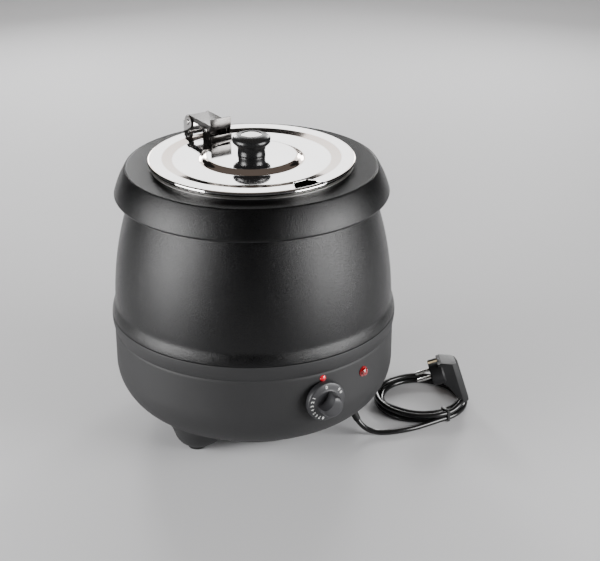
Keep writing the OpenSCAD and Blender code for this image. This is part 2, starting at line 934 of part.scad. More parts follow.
module plug_body() {
    color(RUBBER)
    at_plug() {
        difference() {
            union() {
                // round front
                rotate([0, 90, 0])
                    rotate_extrude()
                        polygon([[0, 0], [plug_face_r - 1.2, 0], [plug_face_r, 1.2], [plug_face_r, 15],
                            [plug_face_r - 2, 17], [0, 17]]);
                // back and tail
                intersection() {
                    rotate([90, 0, 0])
                        translate([0, 0, -13])
                            linear_extrude(26)
                                polygon([[12, 18], [17, 18.6], [35, 10], [37.2, 4], [37.6, -44],
                                    tail_low + [7, 0], tail_low, [23.4, -36.7], [17, -23],
                                    [12, -16]]);
                    translate([0, 0, -14])
                        linear_extrude(70, center = true)
                            polygon([[11, -13], [30, -13], [36, -9], [38, -5], [38, 5], [36, 9],
                                [30, 13], [11, 13]]);
                }
            }
            // earth strip channels at the top and bottom of the face
            for (s = [-1, 1])
                translate([-1, -4, s * (plug_face_r - 1.5) - 2])
                    cube([14, 8, 4]);
            // earth pin socket
            translate([-1, 0, 10])
                rotate([0, 90, 0])
                    cylinder(r = 2.4, h = 15, $fn = 32);
        }
    }
}

module plug_pins() {
    color(STEEL)
    at_plug()
        for (s = [-1, 1])
            translate([0, 9.5 * s, 0])
                rotate([0, -90, 0])
                    rotate_extrude($fn = 32)
                        polygon([[0, 0], [2.4, 0], [2.4, 17.4], [1.4, 19], [0, 19]]);
}

module plug_earth_strips() {
    color([0.8, 0.65, 0.3])
    at_plug()
        for (s = [-1, 1])
            translate([0.5, -3, s * (plug_face_r - 2) - 0.5])
                cube([12, 6, 1]);
}

// ---------------------------------------------------------------- dial

dial_seat = 2.4 + gap;

// Skirt, number bevel and a domed grip with a pointer end, turned about -Y
module control_dial() {
    color([0.13, 0.13, 0.13])
    translate([0, -base_r - dial_seat, dial_z])
        rotate([90, 0, 0])
            difference() {
                union() {
                    rotate_extrude()
                        polygon([[0, 0], [dial_r - 0.4, 0], [dial_r, 0.4], [dial_r, skirt_depth - 3],
                            [dial_r - 0.6, skirt_depth - 2], [grip_r + 1, skirt_depth],
                            [grip_r, skirt_depth],
                            [grip_r - 0.4, dial_depth - 5], [grip_r - 1.4, dial_depth - 2.2],
                            [grip_r - 4, dial_depth - 0.5], [grip_r - 7, dial_depth], [0, dial_depth]]);
                    // pointer end of the grip
                    rotate([0, 0, dial_rest])
                        translate([0, 0, skirt_depth - 2])
                            linear_extrude(dial_depth - skirt_depth + 1)
                                polygon([[-3.5, 0], [3.5, 0], [3.5, 14.5], [0, 18.5], [-3.5, 14.5]]);
                }
                // hollow behind the skirt
                difference() {
                    translate([0, 0, -1])
                        cylinder(r = dial_r - 2, h = 6);
                    translate([0, 0, -2])
                        cylinder(r = shaft_r + 3, h = 8, $fn = 48);
                }
                // finger hollow in the upper side of the grip
                rotate([0, 0, dial_rest])
                    translate([-21, 0, skirt_depth])
                        cylinder(r = 16.5, h = dial_depth);
                // socket for the shaft
                translate([0, 0, -1])
                    cylinder(r = shaft_r + 0.02, h = 15, $fn = 48);
            }
}

// Where the pointer stands at rest, degrees from upright
dial_rest = -45;

module dial_shaft() {
    color(STEEL)
    translate([0, -base_r - dial_seat - 11, dial_z])
        rotate([-90, 0, 0])
            cylinder(r = shaft_r, h = 11 + dial_seat + sheet + 12, $fn = 48);
}

// ---------------------------------------------------------------- soup pot

module soup_pot() {
    color(STEEL)
    rotate_extrude() {
        difference() {
            pot_half(0);
            pot_half(pot_sheet);
        }
        // turned-out flange and rolled rim
        translate([pot_r - pot_sheet, rim_z + 0.4])
            square([rim_ring_r - pot_r + pot_sheet, pot_sheet]);
        translate([rim_ring_r, rim_z])
            circle(r = rim_roll, $fn = 48);
    }
}

// Half of the pot's section, t inside its skin
module pot_half(t) {
    top = rim_z + 0.4 + pot_sheet;
    translate([0, pot_floor + t])
        square([pot_r - pot_corner_r, top - pot_floor - t]);
    translate([0, pot_floor + pot_corner_r])
        square([pot_r - t, top - pot_floor - pot_corner_r]);
    translate([pot_r - pot_corner_r, pot_floor + pot_corner_r])
        circle(r = pot_corner_r - t);
}

// ---------------------------------------------------------------- hinge clip on the pot

ear_in = strap_w / 2 + gap;
clip_w = 2 * (ear_in + hinge_sheet);
clip_foot_z = collar_top + 2.5;
clip_back = pin_y + strap_rise + 0.8 + hinge_sheet;

// A foot on the pot's rim, an upright back and two ears that hold the pin
module hinge_clip() {
    color(STEEL)
    at_az(hinge_az)
        difference() {
            union() {
                translate([-clip_w / 2, -clip_back, clip_foot_z])
                    cube([clip_w, clip_back - rim_ring_r, hinge_sheet]);
                translate([-clip_w / 2, -clip_back, clip_foot_z])
                    cube([clip_w, hinge_sheet, pin_z - clip_foot_z]);
                for (s = [-1, 1])
                    translate([s * (ear_in + hinge_sheet / 2), 0, 0]) {
                        translate([0, -pin_y, pin_z])
                            x_pin(ear_r, hinge_sheet);
                        translate([-hinge_sheet / 2, -clip_back, clip_foot_z])
                            cube([hinge_sheet, clip_back - pin_y + 2, pin_z - clip_foot_z]);
                    }
            }
            // the foot is curved to the pot's rolled rim
            rotate_extrude()
                translate([rim_ring_r, rim_z])
                    circle(r = rim_roll + 0.02, $fn = 48);
            translate([0, 0, rim_z - 10])
                cylinder(r = rim_ring_r + rim_roll * 0.7, h = 20);
            translate([0, -pin_y, pin_z])
                x_pin(pin_r + 0.02, clip_w + 2);
        }
}

// ---------------------------------------------------------------- lid

// An S-shaped step down from (x, z) over width w
function step(x, z, w, drop) = [for (i = [1:7]) [x + w * i / 8, z - drop * (1 - cos(22.5 * i)) / 2]];

// Half of the lid's section, t inside its skin
module lid_half(t) {
    polygon(concat(
        [[0, ring_top - 9], [0, boss_top - t], [boss_r, boss_top - t]],
        step(boss_r, boss_top - t, step_w + 2, boss_rise),
        [[boss_r + step_w + 2, ring_top - t], [band_r - step_w, ring_top - t]],
        step(band_r - step_w, ring_top - t, step_w, -ring_drop),
        [[band_r, band_top - t], [lid_r - 2.2, band_top - t], [lid_r - 2.2, ring_top - 9]]));
    translate([lid_r - 2.2, band_top - 2.2])
        circle(r = 2.2 - t);
    translate([lid_r - 3, ring_top - 9])
        square([3 - t, 9 + ring_drop - 2.2]);
}

// The dished cover, with a flared notch for the ladle
module lid() {
    nc = 5;
    nx = notch_w / 2 - nc + 0.6;
    color(STEEL)
    difference() {
        rotate_extrude()
            intersection() {
                difference() {
                    lid_half(0);
                    lid_half(lid_sheet);
                }
                translate([0, band_top - lid_edge_h])
                    square([lid_r + 1, 20]);
            }
        at_az(notch_az)
            translate([0, 0, band_top - 20])
                linear_extrude(40) {
                    polygon([[-nx, -notch_in], [nx, -notch_in],
                        [nx + nc * cos(notch_flare), -notch_in - nc + nc * sin(notch_flare)],
                        [nx + nc * cos(notch_flare) + 26 * tan(notch_flare), -notch_in - 29],
                        [-nx - nc * cos(notch_flare) - 26 * tan(notch_flare), -notch_in - 29],
                        [-nx - nc * cos(notch_flare), -notch_in - nc + nc * sin(notch_flare)]]);
                    for (s = [-1, 1])
                        translate([s * nx, -notch_in - nc])
                            circle(r = nc, $fn = 48);
                }
        translate([0, 0, boss_top - 10])
            cylinder(r = screw_r + 0.4, h = 20, $fn = 32);
    }
}

// ---------------------------------------------------------------- lid bracket and strap

rivet_z = pin_z + 0.7;
cheek_out = strap_w / 2;
cheek_in = cheek_out - hinge_sheet;
lug_out = cheek_in - 0.2;
lug_in = lug_out - hinge_sheet;

// Spot-welded to the lid's ring: a foot, an upright front, a back and two lugs
module lid_bracket() {
    front = stop_y - 2.4;
    rear = rivet_y + 12;
    color(STEEL)
    at_az(hinge_az)
        difference() {
            union() {
                translate([-lug_out, -rear, ring_top])
                    cube([2 * lug_out, rear - front, hinge_sheet]);
                translate([-strap_w / 2, -front - hinge_sheet, ring_top])
                    cube([strap_w, hinge_sheet, bracket_h]);
                translate([-lug_out, -rear, ring_top])
                    cube([2 * lug_out, hinge_sheet, rivet_z + 3 - ring_top]);
                for (s = [-1, 1])
                    translate([s * (lug_out + lug_in) / 2, 0, 0]) {
                        translate([0, -rivet_y, rivet_z])
                            x_pin(6, hinge_sheet);
                        translate([-hinge_sheet / 2, -rear, ring_top])
                            cube([hinge_sheet, rear - rivet_y + 6, rivet_z - ring_top]);
                    }
            }
            translate([0, -rivet_y, rivet_z])
                x_pin(rivet_r + 0.02, strap_w);
        }
}

// A channel: level top, two cheeks that drop round the rivet and the pin, and a stop plate
module hinge_strap() {
    color(STEEL)
    at_az(hinge_az)
        difference() {
            union() {
                translate([-cheek_out, -pin_y, strap_top - hinge_sheet])
                    cube([strap_w, pin_y - stop_y, hinge_sheet]);
                for (s = [-1, 1])
                    translate([s * (cheek_out + cheek_in) / 2, 0, 0]) {
                        translate([0, -pin_y, pin_z])
                            x_pin(strap_rise, hinge_sheet);
                        translate([0, -rivet_y, rivet_z - 0.6])
                            x_pin(7, hinge_sheet);
                        translate([0, -stop_y - 7, rivet_z - 0.6])
                            x_pin(7, hinge_sheet);
                        translate([-hinge_sheet / 2, -rivet_y, rivet_z - 7.6])
                            cube([hinge_sheet, rivet_y - stop_y - 7, 7]);
                        translate([-hinge_sheet / 2, -pin_y, strap_top - 7])
                            cube([hinge_sheet, pin_y - stop_y, 7]);
                        translate([-hinge_sheet / 2, -rivet_y - 7, rivet_z - 0.6])
                            cube([hinge_sheet, rivet_y - stop_y + 7, strap_top - rivet_z]);
                    }
                translate([-cheek_out, -stop_y - hinge_sheet / 2, strap_top - 6.5])
                    cube([strap_w, hinge_sheet, stop_h + 6.5]);
            }
            translate([0, -pin_y, pin_z])
                x_pin(pin_r + pin_gap, strap_w + 2);
            translate([0, -rivet_y, rivet_z])
                x_pin(rivet_r + 0.02, strap_w + 2);
        }
}

// A snap head: a flat disc with a rounded edge
module rivet_head(r, h) {
    rotate_extrude($fn = 48) {
        square([r - h, h]);
        intersection() {
            translate([r - h, 0])
                circle(r = h);
            square([r, h]);
        }
    }
}

module strap_rivet() {
    color(STEEL)
    at_az(hinge_az)
        translate([0, -rivet_y, rivet_z]) {
            x_pin(rivet_r, strap_w);
            for (s = [-1, 1])
                translate([s * strap_w / 2, 0, 0])
                    rotate([0, 90 * s, 0])
                        rivet_head(rivet_r + 1.2, 1.2);
        }
}

module hinge_pin() {
    color(STEEL)
    at_az(hinge_az)
        translate([0, -pin_y, pin_z]) {
            x_pin(pin_r, clip_w);
            for (s = [-1, 1])
                translate([s * clip_w / 2, 0, 0])
                    rotate([0, 90 * s, 0])
                        rivet_head(pin_r + 1.5, 1.2);
        }
}

// ---------------------------------------------------------------- knob

module lid_knob() {
    cap_z = boss_top + knob_h - 8;
    color([0.08, 0.08, 0.08])
    difference() {
        rotate_extrude()
            polygon(concat(
                [[0, boss_top], [knob_neck_r, boss_top], [knob_neck_r - 0.3, boss_top + 5]],
                arc(knob_neck_r + 6.2, boss_top + 8.6, 6.5, 180, 130, 5),
                [[knob_r - 1.2, cap_z - 3.4], [knob_r - 0.2, cap_z - 1.2]],
                arc(knob_r - 8, cap_z, 8, 0, 80, 7),
                [[knob_disc_r + 0.6, boss_top + knob_h - 0.2], [knob_disc_r, boss_top + knob_h - 0.6],
                    [knob_disc_r, boss_top + knob_h - 2], [0, boss_top + knob_h - 2]]));
        translate([0, 0, boss_top - 1])
            cylinder(r = screw_r, h = 16, $fn = 32);
    }
}

module knob_disc() {
    color([0.9, 0.9, 0.9])
    translate([0, 0, boss_top + knob_h - 2])
        rotate_extrude()
            polygon([[0, 0], [knob_disc_r - 0.05, 0], [knob_disc_r - 0.05, 1],
                [knob_disc_r - 0.6, 1.5], [0, 1.7]]);
}

module knob_screw() {
    color(STEEL) {
        translate([0, 0, boss_top - lid_sheet - 2.4])
            rotate_extrude($fn = 32)
                polygon([[0, 0], [3, 0], [4, 0.8], [4, 2.4], [0, 2.4]]);
        translate([0, 0, boss_top - lid_sheet])
            cylinder(r = screw_r, h = 14, $fn = 32);
    }
}

base_shell();
upper_shell();
top_collar();
water_well();
bottom_cover();
cover_screws();
foot_pads();
foot_screws();
heating_element();
element_plate();
element_nuts();
thermal_cutout();
thermostat_body();
thermostat_nut();
capillary_bulb();
terminal_block();
earth_stud();
inner_wiring();
index_lamp();
index_lamp_body();
pilot_lens();
pilot_lamp_body();
cord_gland();
power_cord();
cord_coil();
coil_tie();
plug_body();
plug_pins();
plug_earth_strips();
control_dial();
dial_shaft();
soup_pot();
hinge_clip();
lid();
lid_bracket();
hinge_strap();
strap_rivet();
hinge_pin();
lid_knob();
knob_disc();
knob_screw();
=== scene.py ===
import math

import bmesh
import bpy
from mathutils import Matrix, Vector


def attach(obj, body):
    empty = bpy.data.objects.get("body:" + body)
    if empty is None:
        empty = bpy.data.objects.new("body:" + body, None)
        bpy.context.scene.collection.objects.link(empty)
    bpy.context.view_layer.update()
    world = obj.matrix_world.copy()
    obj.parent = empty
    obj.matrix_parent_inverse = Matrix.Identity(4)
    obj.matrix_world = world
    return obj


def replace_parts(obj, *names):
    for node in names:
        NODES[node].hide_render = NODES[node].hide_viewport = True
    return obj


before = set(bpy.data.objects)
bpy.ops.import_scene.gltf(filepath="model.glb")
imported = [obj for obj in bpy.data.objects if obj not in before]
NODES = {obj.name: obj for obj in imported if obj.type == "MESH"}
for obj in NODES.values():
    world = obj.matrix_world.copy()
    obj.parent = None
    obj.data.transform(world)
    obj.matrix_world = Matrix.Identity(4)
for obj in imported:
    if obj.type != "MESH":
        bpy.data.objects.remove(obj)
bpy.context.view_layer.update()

MM = 0.001

# ------------------------------------------------------------------ sizes, in mm, as in the part's source
BASE_R, SEAM_Z, SHEET = 173.0, 151.0, 1.2
FLOOR_Z, FLOOR_R, FLOOR_BEND = 12.0, 107.1, 3.2
CONE = 31.4                                            # slope of the pan's floor, in degrees
SLOPE = math.radians(CONE)
CORNER_R = 60.0
CORNER_X = BASE_R - CORNER_R
CORNER_Z = FLOOR_Z + (CORNER_R + (CORNER_X - FLOOR_R) * math.sin(SLOPE)) / math.cos(SLOPE)
BEAD_X, BEAD_Z, BEAD_R = 135.5, 146.0, 40.0            # arc of the bead and flare at the seam
BARREL_X, BARREL_Z, BARREL_R = -229.0, 160.0, 400.0    # arc of the shell's side
FOOT_RING, FOOT_AZ, FOOT_COUNT, FOOT_Z = 117.5, -65.0, 3, 5.0
DOME_R, DOME_Z = 27.0, 28.7
CROWN_X, CROWN_Z, CROWN_R = 50.1, 270.0, 120.0         # arc of the collar's side
COLLAR_Z, COLLAR_TOP = 299.5, 334.0
POT_R, POT_FLOOR, POT_CORNER, POT_SHEET = 112.5, 89.0, 24.0, 1.0
RIM_X, RIM_Z, RIM_R = 118.7, 338.5, 3.0
BAND_TOP, RING_TOP, BOSS_TOP = 342.8, 340.8, 345.3     # the lid's three levels
LID_SHEET = 1.0
NOTCH_AZ, NOTCH_Y, NOTCH_X, NOTCH_BEND = 5.5, -106.0, 6.6, 5.0
NOTCH_FLARE = math.radians(26.6)
KNOB_FLOOR = 368.3
DIAL_Y, DIAL_Z, DIAL_REST = 175.7, 98.0, -45.0
INDEX_Z, PILOT_AZ, PILOT_Z = 124.4, 20.7, 112.5
GLAND_AZ, GLAND_R = 33.0, 139.5
LEAD_D = 6.8


# ------------------------------------------------------------------ mesh helpers
def new_object(name, data):
    """An object in the scene."""
    obj = bpy.data.objects.new(name, data)
    bpy.context.scene.collection.objects.link(obj)
    return obj


def smooth(mesh, sharp):
    """Smooth shading, but for edges sharper than an angle in degrees."""
    for p in mesh.polygons:
        p.use_smooth = True
    mesh.set_sharp_from_angle(angle=math.radians(sharp))


def add(name, mesh, body, mat, sharp=35):
    """An object made from a mesh, shaded smooth, on a body."""
    obj = new_object(name, mesh)
    mesh.materials.clear()
    mesh.materials.append(mat)
    smooth(mesh, sharp)
    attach(obj, body)
    return obj


def from_bm(name, bm):
    """A mesh from a bmesh, which is used up."""
    mesh = bpy.data.meshes.new(name)
    bmesh.ops.recalc_face_normals(bm, faces=bm.faces)
    bm.to_mesh(mesh)
    bm.free()
    return mesh


def arc(x, z, r, a, b, n):
    """Points of an arc in a profile, in n steps, angles in degrees."""
    angles = [math.radians(a + (b - a) * i / n) for i in range(n + 1)]
    return [(x + r * math.cos(t), z + r * math.sin(t)) for t in angles]


def backwards(points):
    """The points of a profile from its last to its first."""
    return list(reversed(points))


def ring_of(bm, r, z, count, start=0.0):
    """A ring of points about Z, the first one turned by start of a step."""
    angles = [2 * math.pi * (k + start) / count for k in range(count)]
    return [bm.verts.new((r * math.cos(a) * MM, r * math.sin(a) * MM, z * MM)) for a in angles]


def bridge(bm, a, b):
    """Four-sided faces between two rings of as many points."""
    for k in range(len(a)):
        j = (k + 1) % len(a)
        bm.faces.new((a[k], a[j], b[j], b[k]))


def fan(bm, tip, ring, tip_first):
    """Three-sided faces between a ring and a point on the axis, before it in the profile or after."""
    for k in range(len(ring)):
        j = (k + 1) % len(ring)
        bm.faces.new((tip, ring[j], ring[k]) if tip_first else (ring[k], ring[j], tip))


def lathe(profile, segs, closed=False):
    """A bmesh turned about Z from a profile of (radius, height) in mm."""
    bm = bmesh.new()
    rings = []
    for r, z in profile:
        rings.append([bm.verts.new((0, 0, z * MM))] if r < 1e-6 else ring_of(bm, r, z, segs))
    pairs = list(zip(rings, rings[1:]))
    if closed:
        pairs.append((rings[-1], rings[0]))
    for a, b in pairs:
        if len(a) == len(b) == 1:
            continue
        if len(a) == 1:
            fan(bm, a[0], b, True)
        elif len(b) == 1:
            fan(bm, b[0], a, False)
        else:
            bridge(bm, a, b)
    return bm


def place(bm, matrix):
    bmesh.ops.transform(bm, matrix=matrix, verts=bm.verts)
    return bm


def turned(name, profile, segs, body, mat, sharp=40, closed=False, at=None):
    """A piece turned from a profile, at a matrix."""
    bm = lathe(profile, segs, closed)
    if at is not None:
        place(bm, at)
    return add(name, from_bm(name, bm), body, mat, sharp)


def at_az(deg, r, z=0.0):
    """Matrix to a place r mm out from the axis at an azimuth: local -Y points out."""
    return Matrix.Rotation(math.radians(deg), 4, "Z") @ Matrix.Translation((0, -r * MM, z * MM))


def out_axis(deg, r, z):
    """Matrix whose local +Z points out of the wall at an azimuth."""
    return at_az(deg, r, z) @ Matrix.Rotation(math.radians(90), 4, "X")


def softened(name, node, body, mat, width, angle=30, segments=2):
    """The CAD node's own shape with rounded edges, width in mm."""
    mesh = NODES[node].data.copy()
    bm = bmesh.new()
    bm.from_mesh(mesh)
    bmesh.ops.remove_doubles(bm, verts=bm.verts, dist=0.01 * MM)
    bmesh.ops.dissolve_limit(bm, angle_limit=math.radians(1.0), verts=bm.verts, edges=bm.edges)
    edges = [e for e in bm.edges if len(e.link_faces) == 2 and e.calc_face_angle(0) > math.radians(angle)]
    bmesh.ops.bevel(bm, geom=edges, offset=width * MM, segments=segments, affect="EDGES",
                    profile=0.6, clamp_overlap=True)
    bm.to_mesh(mesh)
    bm.free()
    obj = add(name, mesh, body, mat)
    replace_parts(obj, node)
    return obj


def subtract(obj, tool, sharp=40):
    """Cuts a tool out of a piece, for good, and removes the tool."""
    mod = obj.modifiers.new("cut", "BOOLEAN")
    mod.operation = "DIFFERENCE"
    mod.solver = "EXACT"
    mod.object = tool
    deps = bpy.context.evaluated_depsgraph_get()
    made = bpy.data.meshes.new_from_object(obj.evaluated_get(deps))
    obj.modifiers.remove(mod)
    old = obj.data
    obj.data = made
    made.name = old.name
    bpy.data.meshes.remove(old)
    bpy.data.objects.remove(tool)
    smooth(made, sharp)


def tube(name, points, radius, resolution, mat):
    """A round bar along points in metres: a curve of one open spline."""
    cu = bpy.data.curves.new(name, "CURVE")
    cu.dimensions = "3D"
    cu.bevel_depth = radius
    cu.bevel_resolution = resolution
    cu.use_fill_caps = True
    spline = cu.splines.new("POLY")
    spline.points.add(len(points) - 1)
    for q, p in zip(spline.points, points):
        q.co = (*p, 1)
    spline.use_smooth = True
    cu.materials.append(mat)
    return new_object(name, cu)


# ------------------------------------------------------------------ materials
def material(name, color, rough, metallic=0.0, spec=0.5, coat=0.0, coat_rough=0.1):
    m = bpy.data.materials.new(name)
    m.use_nodes = True
    nt = m.node_tree
    b = nt.nodes["Principled BSDF"]
    b.inputs["Base Color"].default_value = (*color, 1)
    b.inputs["Roughness"].default_value = rough
    b.inputs["Metallic"].default_value = metallic
    b.inputs["Specular IOR Level"].default_value = spec
    b.inputs["Coat Weight"].default_value = coat
    b.inputs["Coat Roughness"].default_value = coat_rough
    return m, nt, b


def coords(nt, scale=(1, 1, 1)):
    tc = nt.nodes.new("ShaderNodeTexCoord")
    mp = nt.nodes.new("ShaderNodeMapping")
    mp.inputs["Scale"].default_value = scale
    nt.links.new(tc.outputs["Object"], mp.inputs["Vector"])
    return mp.outputs["Vector"]


def noise(nt, vec, scale, detail, rough=0.55):
    n = nt.nodes.new("ShaderNodeTexNoise")
    n.inputs["Scale"].default_value = scale
    n.inputs["Detail"].default_value = detail
    n.inputs["Roughness"].default_value = rough
    nt.links.new(vec, n.inputs["Vector"])
    return n.outputs["Fac"]


def grey(v):
    return (v, v, v)


def ramp(nt, fac, stops):
    """A colour ramp over a factor, from stops of (position, colour)."""
    r = nt.nodes.new("ShaderNodeValToRGB")
    els = r.color_ramp.elements
    while len(els) < len(stops):
        els.new(0.5)
    for e, (pos, col) in zip(els, stops):
        e.position = pos
        e.color = (*col, 1)
    nt.links.new(fac, r.inputs["Fac"])
    return r.outputs["Color"]


def vary(nt, fac, socket, low, high, start=0.3, end=0.75):
    """Drives a socket from low to high as a factor goes from start to end."""
    nt.links.new(ramp(nt, fac, [(start, low), (end, high)]), socket)


def bump(nt, b, height, strength, distance):
    n = nt.nodes.new("ShaderNodeBump")
    n.inputs["Strength"].default_value = strength
    n.inputs["Distance"].default_value = distance
    nt.links.new(height, n.inputs["Height"])
    nt.links.new(n.outputs["Normal"], b.inputs["Normal"])


def mix_height(nt, a, b, fac):
    m = nt.nodes.new("ShaderNodeMix")
    m.data_type = "FLOAT"
    m.inputs[0].default_value = fac
    nt.links.new(a, m.inputs[2])
    nt.links.new(b, m.inputs[3])
    return m.outputs[0]


def powder(name, dark, light, rough, grain, strength, depth, spec):
    """Textured powder coat: pebbled grain, faint mottling and uneven sheen."""
    m, nt, b = material(name, dark, rough[0], spec=spec)
    v = coords(nt)
    cell = nt.nodes.new("ShaderNodeTexVoronoi")
    cell.feature = "SMOOTH_F1"
    cell.inputs["Scale"].default_value = grain
    cell.inputs["Smoothness"].default_value = 0.9
    nt.links.new(v, cell.inputs["Vector"])
    fine = noise(nt, v, grain * 1.7, 2.0)
    slow = noise(nt, v, 9.0, 3.0)
    vary(nt, slow, b.inputs["Base Color"], dark, light)
    vary(nt, fine, b.inputs["Roughness"], grey(rough[0]), grey(rough[1]), 0.25, 0.8)
    bump(nt, b, mix_height(nt, cell.outputs["Distance"], fine, 0.45), strength, depth)
    return m


def metal(name, color, rough, scale, strength, depth=0.0002, streak=(1, 1, 1)):
    """Bright metal with faint marks: how fine, how strong and how deep they are, and which way they run."""
    m, nt, b = material(name, color, rough[0], metallic=1.0)
    marks = noise(nt, coords(nt, streak), scale, 4.0, 0.6)
    slow = noise(nt, coords(nt), 14.0, 2.0)
    vary(nt, marks, b.inputs["Roughness"], grey(rough[0]), grey(rough[1]), 0.3, 0.8)
    vary(nt, slow, b.inputs["Base Color"], tuple(c * 0.93 for c in color), color, 0.3, 0.7)
    bump(nt, b, marks, strength, depth)
    return m


def plastic(name, color, rough, grain, strength, depth, spec=0.5):
    """Plastic, rubber or print, with a fine grain and a faint mottling."""
    m, nt, b = material(name, color, rough[0], spec=spec)
    v = coords(nt)
    fine = noise(nt, v, grain, 2.0)
    slow = noise(nt, v, 30.0, 3.0)
    vary(nt, slow, b.inputs["Base Color"], color, tuple(min(1, c * 1.35 + 0.002) for c in color))
    vary(nt, fine, b.inputs["Roughness"], grey(rough[0]), grey(rough[1]))
    bump(nt, b, fine, strength, depth)
    return m


def ruby(name, color, glow):
    """A red lens, coated and slightly lit from inside."""
    m, nt, b = material(name, color, 0.06, spec=0.6, coat=1.0, coat_rough=0.03)
    mottle = noise(nt, coords(nt), 260.0, 2.0)
    vary(nt, mottle, b.inputs["Base Color"], tuple(c * 0.7 for c in color), color, 0.3, 0.7)
    b.inputs["Emission Color"].default_value = (0.9, 0.03, 0.04, 1)
    b.inputs["Emission Strength"].default_value = glow
    b.inputs["Subsurface Weight"].default_value = 0.4
    b.inputs["Subsurface Radius"].default_value = (0.004, 0.001, 0.001)
    return m


def painted_shade_top(m, height):
    """Painted shade: the level top, above a height in metres, has less sheen than the rest, to darken it
    like the shade under the lid.
    """
    nt = m.node_tree
    xyz = nt.nodes.new("ShaderNodeSeparateXYZ")
    nt.links.new(coords(nt), xyz.inputs[0])
    step = nt.nodes.new("ShaderNodeMapRange")
    step.inputs["From Min"].default_value = height - 0.0004
    step.inputs["From Max"].default_value = height + 0.0001
    step.inputs["To Min"].default_value = 0.36
    step.inputs["To Max"].default_value = 0.04
    nt.links.new(xyz.outputs["Z"], step.inputs["Value"])
    nt.links.new(step.outputs["Result"], nt.nodes["Principled BSDF"].inputs["Specular IOR Level"])


def paint_slope_reflection(m, tint):
    """Painted reflection: tints the slopes, and not the level parts or the steep edges, with a colour for
    what they would mirror.
    """
    nt = m.node_tree
    b = nt.nodes["Principled BSDF"]
    tc = nt.nodes.new("ShaderNodeTexCoord")
    xyz = nt.nodes.new("ShaderNodeSeparateXYZ")
    nt.links.new(tc.outputs["Normal"], xyz.inputs[0])
    steep, slope_low, slope_high, level = 0.7, 0.8, 0.992, 0.998
    sloping = ramp(nt, xyz.outputs["Z"], [(steep, grey(0)), (slope_low, grey(1)),
                                          (slope_high, grey(1)), (level, grey(0))])
    mix = nt.nodes.new("ShaderNodeMix")
    mix.data_type = "RGBA"
    plain = b.inputs["Base Color"].links[0].from_socket
    nt.links.new(sloping, mix.inputs["Factor"])
    nt.links.new(plain, mix.inputs[6])
    mix.inputs[7].default_value = (*tint, 1)
    nt.links.new(mix.outputs[2], b.inputs["Base Color"])


COAT = ((0.0012, 0.0012, 0.0014), (0.0022, 0.0022, 0.0025))
PAN_COAT = ((0.017, 0.017, 0.0175), (0.022, 0.022, 0.023))
M_SHELL = powder("shell_coat", *COAT, (0.24, 0.31), grain=1000, strength=0.9, depth=0.00055, spec=0.36)
M_COLLAR = powder("collar_coat", *COAT, (0.25, 0.33), grain=1000, strength=0.85, depth=0.0005, spec=0.38)
M_BASE = powder("base_coat", *PAN_COAT, (0.55, 0.65), grain=1000, strength=0.35, depth=0.0004, spec=0.4)
# painted shade: the collar's level top loses sheen, darkened as under the lid's shadow
painted_shade_top(M_COLLAR, (COLLAR_TOP - 0.4) * MM)
M_LID = metal("lid_mirror", (0.8, 0.79, 0.785), (0.045, 0.085), 35, 0.01, 0.0001)
# painted reflection: a brown-grey tint on the lid's sloping steps
paint_slope_reflection(M_LID, (0.46, 0.4, 0.36))
M_POT = metal("pot_steel", (0.74, 0.73, 0.72), (0.06, 0.13), 90, 0.02, 0.0001, streak=(1, 1, 6))
M_WELL = metal("well_satin", (0.55, 0.54, 0.53), (0.3, 0.45), 70, 0.06, 0.0003, streak=(1, 1, 5))
M_HINGE = metal("hinge_bright", (0.62, 0.61, 0.6), (0.12, 0.2), 120, 0.03, streak=(1, 3, 1))
M_STRAP = metal("strap_satin", (0.115, 0.11, 0.106), (0.2, 0.28), 140, 0.03, streak=(1, 4, 1))
M_SCREW = metal("screw_plate", (0.66, 0.65, 0.63), (0.2, 0.32), 300, 0.05)
M_BRASS = metal("brass_bare", (0.74, 0.55, 0.26), (0.22, 0.38), 260, 0.05)
M_COPPER = metal("copper_bare", (0.72, 0.38, 0.22), (0.25, 0.4), 260, 0.05)
M_TINT = metal("element_tint", (0.3, 0.26, 0.23), (0.35, 0.55), 200, 0.1, 0.0003)
M_PLATE = metal("plate_alu", (0.62, 0.62, 0.62), (0.35, 0.5), 120, 0.08, 0.0003, streak=(4, 1, 1))
M_KNOB = plastic("knob_black", (0.008, 0.008, 0.0085), (0.24, 0.34), 900, 0.1, 0.0001)
M_DIAL = plastic("dial_black", (0.022, 0.022, 0.024), (0.36, 0.46), 1300, 0.18, 0.0001)
M_PRINT = plastic("dial_print", (0.72, 0.72, 0.7), (0.5, 0.6), 1500, 0.1, 0.00005)
M_RUBBER = plastic("foot_rubber", (0.012, 0.012, 0.012), (0.6, 0.75), 1200, 0.3, 0.0002, 0.35)
M_CORD = plastic("cord_pvc", (0.005, 0.005, 0.005), (0.16, 0.26), 700, 0.05, 0.0001)
M_PLUG = plastic("plug_pvc", (0.006, 0.006, 0.0065), (0.42, 0.55), 1100, 0.2, 0.0002, 0.3)
M_STRIP = metal("strip_dark", (0.2, 0.15, 0.08), (0.3, 0.45), 260, 0.05)
M_TIE = plastic("tie_black", (0.012, 0.012, 0.012), (0.3, 0.42), 900, 0.1, 0.0001)
M_INSUL = plastic("insulator", (0.62, 0.59, 0.5), (0.45, 0.6), 700, 0.15, 0.0002)
M_LAMPB = plastic("lamp_body", (0.7, 0.7, 0.66), (0.4, 0.5), 700, 0.1, 0.0002)
M_WIRE = plastic("wire_sleeve", (0.2, 0.09, 0.04), (0.35, 0.45), 700, 0.1, 0.0002)
M_INDEX = ruby("index_red", (0.7, 0.01, 0.03), 0.18)
M_PILOT = ruby("pilot_red", (0.32, 0.006, 0.01), 0.04)


